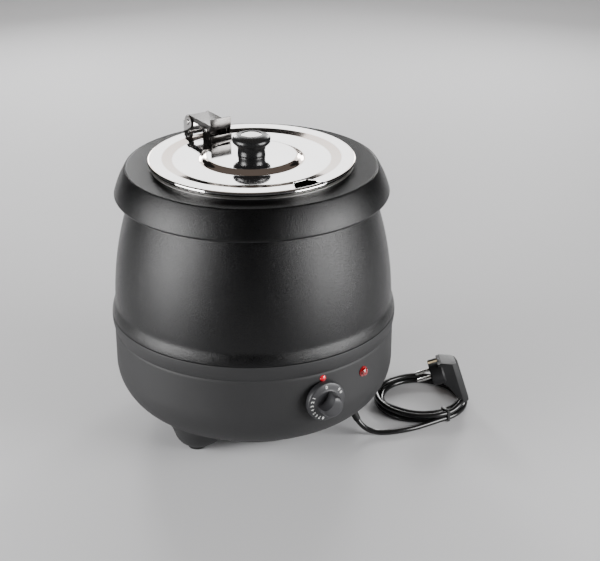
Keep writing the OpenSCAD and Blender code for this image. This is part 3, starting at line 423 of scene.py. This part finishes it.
# ------------------------------------------------------------------ base pan with its pressed feet
PAN_SEGS = 720
DOME_EDGE, DOME_WALL = 0.985, 5.0       # where the dome's arc ends, and how steeply it goes on
PRESS_TOP, PRESS_REACH = 62.0, 60.0     # the press leaves what is higher or further off as it is
PRESS_BLEND, FLAT_BLEND = 26.0, 1.5     # how softly a foot leaves the pan, and its flat the dome
CREASE = ((0, 127.4), (0.02, 128.4), (0.2, 129.3), (0.6, 130.3), (0.75, 131.0), (0.5, 131.7))
FEET = [FOOT_AZ + 360 / FOOT_COUNT * i for i in range(FOOT_COUNT)]
SPOTS = [(FOOT_RING * math.sin(math.radians(a)), -FOOT_RING * math.cos(math.radians(a))) for a in FEET]


def bead(z):
    """Radius of the bead and flare at a height."""
    return BEAD_X + math.sqrt(BEAD_R ** 2 - (z - BEAD_Z) ** 2)


def dome_height(d, grow):
    """Height of a pressed foot at a distance d from its middle."""
    r = DOME_R - grow
    edge = r * DOME_EDGE
    z = DOME_Z - math.sqrt(r * r - min(d, edge) ** 2) + max(d - edge, 0.0) * DOME_WALL
    return max(z, FOOT_Z + grow)


def smin(a, b, k):
    """The lesser of two heights, blended where they are within k."""
    h = max(k - abs(a - b), 0.0) / k
    return min(a, b) - h * h * k / 4


def smax(a, b, k):
    """The greater of two heights, blended where they are within k."""
    return -smin(-a, -b, k)


def pressed(x, y, z, grow):
    """Height of a point of the pan once the feet are pressed; grow is 0 outside and the sheet inside."""
    d = min(math.hypot(x - u, y - v) for u, v in SPOTS)
    if z > PRESS_TOP or d > PRESS_REACH:
        return z
    dome = smax(dome_height(d, grow), FOOT_Z + grow, FLAT_BLEND)
    return smin(z, dome, PRESS_BLEND)


def pan_skin(t):
    """The pan's skin, t inside the outside, from the floor's edge to the wall."""
    edge = FLOOR_R - t * math.tan(SLOPE / 2)
    r = CORNER_R - t
    pts = [(x, FLOOR_Z + t) for x in (96.3, 98, 100, 102, 104)]
    bend = [SLOPE * i / 4 for i in range(5)]
    pts += [(edge - FLOOR_BEND / 2 + FLOOR_BEND * math.sin(a), FLOOR_Z + t + FLOOR_BEND * (1 - math.cos(a)))
            for a in bend]
    x0, z0 = pts[-1]
    x1, z1 = CORNER_X + r * math.sin(SLOPE), CORNER_Z - r * math.cos(SLOPE)
    steps = 26
    pts += [(x0 + (x1 - x0) * i / steps, z0 + (z1 - z0) * i / steps) for i in range(1, steps)]
    return pts + arc(CORNER_X, CORNER_Z, r, CONE - 90, 0, 44)


def pan_outside():
    """Up the wall, over the crease and the bead, and round the lip that the shell sits on."""
    pts = pan_skin(0) + [(BASE_R, z) for z in (90, 96, 102, 108, 114, 120, 125)]
    pts += [(BASE_R - depth, z) for depth, z in CREASE]
    pts += [(bead(z), z) for z in (132.6, 134, 136, 139, 142, 145, 147.5, 149, 149.6)]
    pts += [(bead(150) - 0.25, 149.95), (bead(150) - 0.8, 150.05), (172.9, 150.05), (172.8, 150.3)]
    pts += [(172.7, 150.9), (172.3, 151.0), (169.3, 151.0), (169.2, 151.2), (169.2, 164.6), (168.9, 165.0)]
    return pts + [(168.1, 165.0), (168.0, 164.6), (168.0, 148.9)]


def pan_inside():
    """Down the wall from behind the lip, and over the floor."""
    r = BASE_R - SHEET
    return [(r - 0.3, 148.9), (r, 148.5), (r, 130), (r, 110)] + backwards(pan_skin(SHEET))


def make_pan():
    outside = pan_outside()
    bm = lathe(outside + pan_inside(), PAN_SEGS, closed=True)
    for i, v in enumerate(bm.verts):
        grow = 0.0 if i // PAN_SEGS < len(outside) else SHEET
        x, y, z = (c / MM for c in v.co)
        v.co.z = pressed(x, y, z, grow) * MM
    pan = add("pan", from_bm("pan", bm), "kettle", M_BASE, 40)
    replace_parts(pan, "base_shell")


make_pan()


# ------------------------------------------------------------------ upper shell
SHELL_TOP = 332.8
JOIN_LOW, JOIN_HIGH, SIDE_LOW = 162.8, 167.5, 168.5


def barrel(z):
    """Radius of the shell's side at a height."""
    return BARREL_X + math.sqrt(BARREL_R ** 2 - (z - BARREL_Z) ** 2)


def bezier(p0, p1, p2, n):
    """Points of a curve from p0 to p2, pulled towards p1."""
    steps = [i / n for i in range(n + 1)]
    return [tuple((1 - t) ** 2 * a + 2 * t * (1 - t) * b + t * t * c for a, b, c in zip(p0, p1, p2))
            for t in steps]


def make_shell():
    """The flare over the bead, a soft join, the barrel's side and the inside."""
    skin = [(bead(SEAM_Z) - 0.5, SEAM_Z + 0.02), (bead(SEAM_Z) - 0.12, SEAM_Z + 0.15)]
    skin += [(bead(SEAM_Z + dz), SEAM_Z + dz) for dz in [0.5] + [0.9 * i for i in range(1, 13)]]
    skin += bezier((bead(JOIN_LOW), JOIN_LOW), (171.05, 164.8), (barrel(JOIN_HIGH), JOIN_HIGH), 8)
    heights = [SIDE_LOW + (SHELL_TOP - SIDE_LOW) * i / 60 for i in range(61)]
    side = [(barrel(z), z) for z in heights]
    inside = [(r - SHEET, z) for r, z in reversed(side)]
    inside += [(169.9, 166), (171.2, 160), (173.2, 153), (173, 152.3), (169.6, 152.2), (169.5, 151.1)]
    inside += [(169.7, 151.02)]
    shell = turned("shell", skin + side + inside, 256, "kettle", M_SHELL, closed=True)
    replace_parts(shell, "upper_shell")


make_shell()


# ------------------------------------------------------------------ collar
def make_collar():
    """The rolled lower edge, the side, a groove, the level top with its mouth, and the underside."""
    low = math.degrees(math.asin((302.5 - CROWN_Z) / CROWN_R))
    high = math.degrees(math.asin((333.2 - CROWN_Z) / CROWN_R))
    pts = [(146.2, COLLAR_Z + 0.3), (146.6, COLLAR_Z), (160.0, COLLAR_Z)]
    pts += arc(162.6, 302.5, 3.0, -88, 12, 12)
    pts += arc(CROWN_X, CROWN_Z, CROWN_R, low + 0.6, high, 40)
    pts += [(151.75, 333.7), (151.5, 333.66), (151.3, 333.3), (150.9, 332.9), (150.5, 333.1)]
    pts += [(150.2, 333.6), (149.9, 333.86), (149.4, 333.98)]
    pts += [(r, COLLAR_TOP) for r in (148.4, 146, 140, 134, 128, 122, 119)]
    pts += [(118.0, 333.9), (117.6, 333.5), (117.5, 333.0), (117.6, 332.85), (149.9, 332.6)]
    pts += backwards(arc(CROWN_X, CROWN_Z, CROWN_R - SHEET, low + 1, high - 0.8, 24))
    pts += [(163.9, 302.0), (162.6, 300.8), (146.3, 300.7)]
    collar = turned("collar", pts, 288, "kettle", M_COLLAR, closed=True)
    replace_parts(collar, "top_collar")


make_collar()


# ------------------------------------------------------------------ pot
def make_pot():
    """The outside with its round corner, the rolled rim, and the inside."""
    corner_x, corner_z = POT_R - POT_CORNER, POT_FLOOR + POT_CORNER
    bore = POT_R - POT_SHEET
    walls = (140, 200, 260, 320)
    pts = [(0, POT_FLOOR), (60, POT_FLOOR)] + arc(corner_x, corner_z, POT_CORNER, -90, 0, 14)
    pts += [(POT_R, z) for z in (*walls, 337.0)] + [(112.9, 338.4), (114.0, 338.9)]
    pts += arc(RIM_X, RIM_Z, RIM_R, 175, 500, 30)
    pts += [(114.2, 339.9), (112.6, 339.6), (111.8, 338.8), (bore, 337.4)]
    pts += [(bore, z) for z in reversed(walls)]
    pts += backwards(arc(corner_x, corner_z, POT_CORNER - POT_SHEET, -90, 0, 14))
    pts += [(60, POT_FLOOR + POT_SHEET), (0, POT_FLOOR + POT_SHEET)]
    pot = turned("pot", pts, 192, "pot", M_POT, 50)
    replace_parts(pot, "soup_pot")


make_pot()

# ------------------------------------------------------------------ lid
BOSS_R, BOSS_STEP = 53, 11              # where the raised middle ends, and how wide its slope is
RING_R, BAND_STEP, BAND_ROUND = 93.5, 15, 2.0
LIP_R, LIP_REACH = 0.75, 121.5          # the lip's radius, and how far out it runs
LIP_OUT = [6.25 - i for i in range(7)]  # its points along a side, by how far they are from the corner
CUT_Y, CUT_RUN = -130.0, 26.0           # where the notch's cutter ends, and how far its sides flare
CUT_LOW, CUT_HIGH = 330.0, 355.0


def cos_step(x0, z0, w, drop, n=12):
    """A soft step w wide."""
    return [(x0 + w * i / n, z0 - drop * (1 - math.cos(math.pi * i / n)) / 2) for i in range(1, n + 1)]


def ramp_step(x0, z0, w, drop, e, n=6):
    """A straight slope w wide with rounded ends e wide."""
    k = drop / (w - e)
    pts = [(x0 + e * i / n, z0 - k * e * (i / n) ** 2 / 2) for i in range(1, n + 1)]
    pts += [(x0 + w - e + e * i / n, z0 - drop + k * e * (1 - i / n) ** 2 / 2) for i in range(0, n + 1)]
    return pts


def lid_top(t):
    """The lid's top, t below its outside, from the middle to the band."""
    pts = [(r, BOSS_TOP - t) for r in (0, 20, 38, 50, BOSS_R)]
    pts += cos_step(BOSS_R, BOSS_TOP - t, BOSS_STEP, BOSS_TOP - RING_TOP)
    pts += [(r, RING_TOP - t) for r in (68, 75, 84, 89, 92, 93)]
    pts += ramp_step(RING_R, RING_TOP - t, BAND_STEP, RING_TOP - BAND_TOP, BAND_ROUND)
    return pts + [(r, BAND_TOP - t) for r in (110.5, 113, 116, 119.5)]


def lid_height(r):
    """Height of the lid's top at a radius."""
    top = lid_top(0)
    for (ra, za), (rb, zb) in zip(top, top[1:]):
        if ra <= r <= rb:
            return za + (zb - za) * (r - ra) / max(rb - ra, 1e-6)
    return BAND_TOP


def notch_outline():
    """The two rounded inner corners of the ladle notch, from one side to the other."""
    return arc(NOTCH_X, NOTCH_Y, NOTCH_BEND, 27, 90, 7) + arc(-NOTCH_X, NOTCH_Y, NOTCH_BEND, 90, 153, 7)


def notch_cutter():
    """A prism of the notch, from below the lid to above it."""
    tip_x = NOTCH_X + NOTCH_BEND * math.cos(NOTCH_FLARE) + CUT_RUN * math.tan(NOTCH_FLARE)
    outline = [(-tip_x, CUT_Y), (tip_x, CUT_Y)] + notch_outline()
    bm = bmesh.new()
    low = [bm.verts.new((x * MM, y * MM, CUT_LOW * MM)) for x, y in outline]
    high = [bm.verts.new((x * MM, y * MM, CUT_HIGH * MM)) for x, y in outline]
    bm.faces.new(low)
    bm.faces.new(high)
    bridge(bm, low, high)
    place(bm, Matrix.Rotation(math.radians(NOTCH_AZ), 4, "Z"))
    return new_object("cutter", from_bm("cutter", bm))


def make_lid():
    skin = lid_top(0) + arc(122.1, BAND_TOP - 2.2, 2.2, 88, 0, 9)
    skin += [(124.3, 340.4), (124.2, 340.25), (123.9, 340.2), (123.5, 340.2), (123.35, 340.3)]
    skin += [(123.2, 340.6), (122.8, 341.4), (122.0, 341.75), (121, 341.8)] + backwards(lid_top(LID_SHEET))
    lid = turned("cover", skin, 256, "lid", M_LID, 60)
    subtract(lid, notch_cutter())
    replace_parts(lid, "lid")


def make_notch_lip():
    """The notch's edge is turned up into a thin lip."""
    bend = notch_outline()
    x0, y0 = bend[0]
    side = [(x0 + out * math.tan(NOTCH_FLARE), y0 - out) for out in LIP_OUT]
    other = [(-x, y) for x, y in reversed(side)]
    turn = Matrix.Rotation(math.radians(NOTCH_AZ), 3, "Z")
    way = []
    for x, y in side + bend + other:
        r = math.hypot(x, y)
        if r < LIP_REACH:
            way.append(turn @ Vector((x, y, lid_height(r) - 0.1)) * MM)
    lip = tube("notch_lip", way, LIP_R * MM, 4, M_POT)
    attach(lip, "lid")


make_lid()
make_notch_lip()


# ------------------------------------------------------------------ knob and its disc
def make_knob():
    """The foot, the waist, the grip, and the hollow that holds the disc."""
    foot = BOSS_TOP + 0.02
    pts = [(0, foot), (16.4, foot)] + arc(16.4, BOSS_TOP + 0.6, 0.55, -85, 0, 4)
    pts += [(16.85, BOSS_TOP + 2.4), (16.7, BOSS_TOP + 4.4), (16.6, BOSS_TOP + 6.2)]
    pts += [(16.75, 353.2), (17.2, 354.8), (18.1, 356.4), (19.4, 357.9), (20.9, 359.2), (22.1, 360.3)]
    pts += [(22.9, 361.5), (23.2, 362.8), (23.15, 364.2), (22.8, 365.5), (22.0, 366.8), (20.8, 367.9)]
    pts += [(19.2, 368.8), (17.2, 369.5), (15, 369.95), (13.4, 370.15), (12.5, 370.05), (12.15, 369.7)]
    pts += [(12.05, 369.2), (12.0, KNOB_FLOOR), (0, KNOB_FLOOR)]
    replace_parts(turned("knob", pts, 128, "lid", M_KNOB), "lid_knob")


def make_disc():
    """The bright disc in the knob's top."""
    low = KNOB_FLOOR + 0.05
    pts = [(0, low), (11.9, low), (11.95, 369.2), (11.7, 369.6), (11.2, 369.8), (9, 369.95), (5, 370.03)]
    pts += [(0, 370.05)]
    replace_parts(turned("cap", pts, 96, "lid", M_HINGE), "knob_disc")


make_knob()
make_disc()

# ------------------------------------------------------------------ hinge
PLATE_EDGE, PIN_EDGE = 0.45, 0.3        # how far the edges are rounded
for node, body, steel, edge in (("hinge_clip", "pot", M_HINGE, PLATE_EDGE),
                                ("hinge_strap", "lid", M_STRAP, PLATE_EDGE),
                                ("lid_bracket", "lid", M_STRAP, PLATE_EDGE),
                                ("strap_rivet", "lid", M_SCREW, PIN_EDGE),
                                ("hinge_pin", "pot", M_SCREW, PIN_EDGE)):
    softened(node + "_round", node, body, steel, edge)

# ------------------------------------------------------------------ dial
DIAL_AT = out_axis(0, DIAL_Y, DIAL_Z)
HOLLOW_R, HOLLOW_LOW, HOLLOW_OUT = 16.5, 9.4, 21.0     # the finger hollow beside the grip
MARK_Z, MARK_TILT = 8.42, math.atan2(0.45, 3.0)        # the skirt's face under the marks
MARK_START, MARK_STEP = 62, 14.5                       # degrees of the 1, and from figure to figure


def make_dial():
    """The skirt, the fillet and the grip, with a finger hollow cut into one side."""
    pts = [(0, 6.0), (5.8, 6.0), (6.0, 0.3), (22.0, 0.3), (22.3, 0.0), (23.9, 0.0), (24.3, 0.3), (24.4, 0.8)]
    pts += [(24.4, 6.2), (24.2, 6.9), (23.6, 7.5), (22.6, 7.9), (20, 8.35), (17.5, 8.7), (15.4, 9.0)]
    pts += [(14.7, 9.3), (14.3, 9.9), (14.1, 11.0), (13.9, 15), (13.7, 19), (13.4, 21), (12.8, 22.6)]
    pts += [(11.8, 23.8), (10.2, 24.6), (8, 25.05), (5, 25.25), (0, 25.3)]
    dial = turned("dial", pts, 160, "dial", M_DIAL, at=DIAL_AT)
    drum = [(0, HOLLOW_LOW), (HOLLOW_R - 0.2, HOLLOW_LOW), (HOLLOW_R, HOLLOW_LOW + 0.2)]
    drum += [(HOLLOW_R, 40), (0, 40)]
    turn = Matrix.Rotation(math.radians(DIAL_REST), 4, "Z")
    hollow = place(lathe(drum, 128), DIAL_AT @ turn @ Matrix.Translation((-HOLLOW_OUT * MM, 0, 0)))
    subtract(dial, new_object("finger", from_bm("finger", hollow)))
    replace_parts(dial, "control_dial")


def printed(text, deg, r, size):
    """A printed mark on the dial's skirt, upright where it faces out."""
    cu = bpy.data.curves.new("mark", "FONT")
    cu.body = text
    cu.size = size * MM
    cu.align_x = "CENTER"
    cu.align_y = "CENTER"
    cu.extrude = 0.04 * MM
    cu.offset = 0.11 * MM
    cu.resolution_u = 3
    obj = new_object("mark_%s_%d" % (text, round(deg) % 360), cu)
    at = Matrix.Translation((0, r * MM, MARK_Z * MM)) @ Matrix.Rotation(-MARK_TILT, 4, "X")
    obj.matrix_world = DIAL_AT @ Matrix.Rotation(math.radians(deg), 4, "Z") @ at
    cu.materials.append(M_PRINT)
    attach(obj, "dial")


make_dial()
for i in range(8):
    printed(str(i + 1), MARK_START + MARK_STEP * i, 20.2, 5.1)
# the off mark, and the 90
for text, deg, r, size in (("0", 4, 19.6, 5.3), ("9", -50, 19.8, 5.1), ("0", -64, 19.8, 5.1)):
    printed(text, deg, r, size)

# ------------------------------------------------------------------ lamps
PILOT_SKIRT = ((6.5, -0.4), (6.5, 1.0), (6.1, 1.5))
PILOT_CUT = ((5.3, 2.0), (4.6, 4.2), (2.7, 5.6), (1.2, 5.8))


def make_index_lamp():
    """A small red dome above the dial."""
    pts = [(0, -0.6), (3.6, -0.6), (3.9, -0.3), (3.9, 0.5), (3.7, 0.9), (3.3, 1.35), (2.6, 1.8), (1.6, 2.15)]
    pts += [(0.8, 2.28), (0, 2.3)]
    lamp = turned("index", pts, 64, "kettle", M_INDEX, at=out_axis(0, BASE_R, INDEX_Z))
    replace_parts(lamp, "index_lamp")


def make_pilot_lens():
    """A round skirt, and a lens cut in three rows of facets, each ring turned half a step from the last."""
    bm = bmesh.new()
    skirt = [ring_of(bm, r, z, 48) for r, z in PILOT_SKIRT]
    cut = [ring_of(bm, r, z, 8, 0.5 * (1 - n % 2)) for n, (r, z) in enumerate(PILOT_CUT)]
    for a, b in zip(skirt, skirt[1:]):
        bridge(bm, a, b)
    for ring in (skirt[0], skirt[-1], cut[0], cut[-1]):
        bm.faces.new(ring)
    for n, (a, b) in enumerate(zip(cut, cut[1:])):
        for k in range(8):
            j = (k + 1) % 8
            if n % 2 == 0:
                bm.faces.new((a[k], a[j], b[k]))
                bm.faces.new((a[j], b[j], b[k]))
            else:
                bm.faces.new((a[k], a[j], b[j]))
                bm.faces.new((a[k], b[j], b[k]))
    place(bm, out_axis(PILOT_AZ, BASE_R, PILOT_Z))
    lens = add("pilot", from_bm("pilot", bm), "kettle", M_PILOT, 12)
    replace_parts(lens, "pilot_lens")


make_index_lamp()
make_pilot_lens()


# ------------------------------------------------------------------ foot pads
def make_pads():
    """The rubber pads, one piece: a bore from below, a rounded edge and a flat top."""
    pts = [(4.4, 0.6), (4.6, 0.2), (5.0, 0.0), (9.4, 0.0), (10.4, 0.3), (11.0, 1.1), (11.8, 4.9), (0, 4.95)]
    pts += [(0, 2.2), (4.3, 2.2)]
    pads = bmesh.new()
    for az in FEET:
        one = from_bm("one_pad", place(lathe(pts, 64), at_az(az, FOOT_RING)))
        pads.from_mesh(one)
        bpy.data.meshes.remove(one)
    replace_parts(add("pads", from_bm("pads", pads), "kettle", M_RUBBER, 40), "foot_pads")


make_pads()

# ------------------------------------------------------------------ mains lead
# from the gland to the coil, as in the part's source; its last point is where the coil begins
ROUTE = [(79.8, -122.9, 20.3), (82.2, -125.4, 15.9), (87.1, -129.2, 10.4), (93.6, -133.2, 6.3),
         (101.7, -137.3, 4.0), (111.2, -141.7, 3.45), (120.7, -144.9, 3.45), (131.4, -147.3, 3.45),
         (144.7, -149.1, 3.45), (157.1, -149.6, 3.45), (170.9, -149.0, 3.45), (181.3, -148.6, 3.45),
         (190.5, -148.5, 3.45)]
COIL_X, COIL_Y = 195.0, -91.0
COIL_OUT, COIL_IN = 57.45, 50.55                       # radii of the outer and the inner turns
COIL_LOW, COIL_HIGH, COIL_TAIL = 3.45, 10.5, 7.0       # heights of the layers, and the tail's rise
COIL_START, COIL_STEP, COIL_END = -94, 12, 1036        # degrees of winding
GO_IN, GO_UP, GO_OUT, GO_SPAN = 206, 506, 806, 60      # where it goes in, up and out, and over how much
TAIL_AT, TAIL_SPAN = 994, 42                           # where it rises to the plug


def ease(a, start, span):
    """0 before start, 1 a span later, smooth between."""
    t = min(1, max(0, (a - start) / span))
    return t * t * (3 - 2 * t)


def coil_point(a):
    """Centre of the lead at winding angle a: out, then in, then up, then out again, and the tail."""
    r = COIL_OUT + (COIL_IN - COIL_OUT) * (ease(a, GO_IN, GO_SPAN) - ease(a, GO_OUT, GO_SPAN))
    z = COIL_LOW + (COIL_HIGH - COIL_LOW) * ease(a, GO_UP, GO_SPAN) + COIL_TAIL * ease(a, TAIL_AT, TAIL_SPAN)
    t = math.radians(a)
    return COIL_X + r * math.cos(t), COIL_Y + r * math.sin(t), z


def catmull(points, n):
    """A smooth line through points, n steps from each to the next."""
    out = []
    last = len(points) - 1
    for i in range(last):
        a, b, c, d = [Vector(points[max(0, min(last, i + k))]) for k in (-1, 0, 1, 2)]
        for t in [s / n for s in range(n)]:
            out.append(0.5 * (2 * b + (c - a) * t + (2 * a - 5 * b + 4 * c - d) * t ** 2
                              + (3 * b - a - 3 * c + d) * t ** 3))
    out.append(Vector(points[-1]))
    return out


def lead_line():
    """The lead's centre, in metres."""
    winding = [*range(COIL_START, COIL_END - COIL_STEP // 2, COIL_STEP), COIL_END]
    return [p * MM for p in catmull(ROUTE[:-1] + [coil_point(a) for a in winding], 3)]


line = lead_line()
lead = tube("lead", line, LEAD_D / 2 * MM, 6, M_CORD)
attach(lead, "kettle")
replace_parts(lead, "power_cord", "cord_coil")


# ------------------------------------------------------------------ gland
def make_gland():
    """The gland's body, its flange, a tapered sleeve of four ribs, and the sleeve's end."""
    pts = [(0, -7.2), (4.9, -7.2), (5.5, -6.8), (5.5, -1.4), (4.6, -1.2), (4.6, 0.0)]
    pts += [(6.0, 0.0), (6.2, 0.3), (6.1, 1.0), (5.6, 1.9), (4.9, 2.9)]
    for i in range(4):
        z, rib, gap = 3.6 + 2.3 * i, 4.75 - 0.13 * i, 4.25 - 0.1 * i
        pts += [(rib, z), (rib, z + 1.2), (gap, z + 1.4), (gap, z + 2.1)]
    pts += [(4.2, 12.6), (3.9, 13.0), (3.4, 13.0), (0, 13.0)]
    seat_z = FLOOR_Z + (GLAND_R - FLOOR_R) * math.tan(SLOPE)
    at = at_az(GLAND_AZ, GLAND_R, seat_z) @ Matrix.Rotation(math.pi - SLOPE, 4, "X")
    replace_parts(turned("gland", pts, 64, "kettle", M_RUBBER, at=at), "cord_gland")


make_gland()

# ------------------------------------------------------------------ tie and plug
tie = softened("tie_round", "coil_tie", "kettle", M_TIE, 0.25)
plug = softened("plug_round", "plug_body", "kettle", M_PLUG, 1.0, 25, 3)
pins = softened("pins_round", "plug_pins", "kettle", M_SCREW, 0.3, 40)
strips = softened("strips_round", "plug_earth_strips", "kettle", M_STRIP, 0.15, 40)

PLUG_X, PLUG_Y = 194.2, -111.9
PLUG_TILT, PLUG_TURN = math.radians(17.5), math.radians(-27)
TAIL_X, TAIL_Z, COIL_TOP = 30.0, -48.6, 13.9           # the end of the plug's tail rests on the coil
FLAT, HEAD_LOW, HEAD_X = 0.86, -17.0, 17.5             # the head's share of its own height, and its limits


def plug_frame():
    """Matrix of the plug's own frame."""
    rise = COIL_TOP - TAIL_X * math.sin(PLUG_TILT) - TAIL_Z * math.cos(PLUG_TILT)
    at = Matrix.Translation((PLUG_X * MM, PLUG_Y * MM, rise * MM))
    return at @ Matrix.Rotation(PLUG_TURN, 4, "Z") @ Matrix.Rotation(-PLUG_TILT, 4, "Y")


def flatten(piece, at):
    """Flattens the plug's head; the tail below it is lifted to meet it and ends where it was."""
    back = at.inverted()
    for v in piece.data.vertices:
        q = back @ v.co
        z = q.z / MM
        if z > HEAD_LOW or q.x < HEAD_X * MM:
            z *= FLAT
        else:
            z += (1 - FLAT) * -HEAD_LOW * (z - TAIL_Z) / (HEAD_LOW - TAIL_Z)
        q.z = z * MM
        v.co = at @ q
    piece.data.update()


for piece in (plug, strips):
    flatten(piece, plug_frame())

# ------------------------------------------------------------------ CAD nodes that stay, and their materials
KEEP = {"water_well": M_WELL, "bottom_cover": M_BASE, "cover_screws": M_SCREW, "foot_screws": M_SCREW,
        "heating_element": M_TINT, "element_plate": M_PLATE, "element_nuts": M_SCREW,
        "thermal_cutout": M_INSUL, "thermostat_body": M_INSUL, "thermostat_nut": M_SCREW,
        "capillary_bulb": M_COPPER, "terminal_block": M_INSUL, "earth_stud": M_BRASS,
        "inner_wiring": M_WIRE, "index_lamp_body": M_LAMPB, "pilot_lamp_body": M_LAMPB,
        "dial_shaft": M_SCREW, "knob_screw": M_SCREW}
for name, mat in KEEP.items():
    for s in NODES[name].material_slots:
        s.material = mat

# ------------------------------------------------------------------ camera, floor and light
# the camera's place and aim come from the ellipses of the lid, collar, seam and base in the photograph
CAM_AT, CAM_FORWARD = (-0.7177, -1.4086, 0.9004), (0.4423, 0.7951, -0.4151)
AWAY = Vector((0.486, 0.874, 0))        # along the floor, away from the camera
RIGHT = Vector((0.874, -0.486, 0))      # to the camera's right
MIDDLE = (0, 0, 0.2)
WHITE, WARM, PINKISH = (1, 1, 1), (1, 0.9, 0.83), (1, 0.88, 0.8)


def set_camera():
    data = bpy.data.cameras.new("camera")
    data.sensor_width = 36.0
    data.lens = 84.0
    data.clip_end = 30.0
    cam = new_object("camera", data)
    forward = Vector(CAM_FORWARD).normalized()
    right = forward.cross(Vector((0, 0, 1))).normalized()
    up = right.cross(forward)
    turn = Matrix((right, up, -forward)).transposed()
    cam.matrix_world = Matrix.Translation(CAM_AT) @ turn.to_4x4()
    bpy.context.scene.camera = cam


def set_floor():
    bm = bmesh.new()
    bmesh.ops.create_grid(bm, x_segments=2, y_segments=2, size=6.0)
    mesh = bpy.data.meshes.new("floor")
    bm.to_mesh(mesh)
    bm.free()
    floor = new_object("floor", mesh)
    floor.location.z = -0.0002
    mesh.materials.append(material("floor_pale", (0.62, 0.62, 0.63), 0.6, spec=0.2)[0])


def spot(deg, dist, height):
    """A place at an angle from the camera's side of the object, positive to its right."""
    a = math.radians(deg)
    return (-AWAY * math.cos(a) + RIGHT * math.sin(a)) * dist + Vector((0, 0, height))


def area(name, pos, size, power, color=WHITE, aim=MIDDLE):
    """A rectangular light at a place, aimed at another."""
    data = bpy.data.lights.new(name, "AREA")
    data.shape = "RECTANGLE"
    data.size, data.size_y = size
    data.energy = power
    data.color = color
    lamp = new_object(name, data)
    lamp.location = pos
    lamp.rotation_euler = (Vector(aim) - pos).to_track_quat("-Z", "Y").to_euler()


def set_world():
    world = bpy.data.worlds.new("studio")
    world.use_nodes = True
    world.node_tree.nodes["Background"].inputs["Color"].default_value = (0.8, 0.81, 0.83, 1)
    world.node_tree.nodes["Background"].inputs["Strength"].default_value = 0.03
    bpy.context.scene.world = world


set_camera()
set_floor()
area("back", spot(180, 2.4, 1.23), (2.6, 0.92), 28)
area("left", spot(-66, 1.7, 0.5), (1.1, 0.8), 52)
area("right", spot(67, 1.7, 0.5), (1.1, 0.8), 50)
area("ceiling", spot(180, 0.8, 2.7), (3.6, 4.4), 10, PINKISH, aim=(0.4, 0.72, 0.3))
area("left_rim", spot(-160, 1.9, 0.8), (0.35, 0.5), 14)
area("right_rim", spot(160, 1.9, 0.8), (0.35, 0.5), 11)
area("low_back", spot(180, 2.3, 0.36), (2.6, 0.42), 0.8, WARM)
set_world()
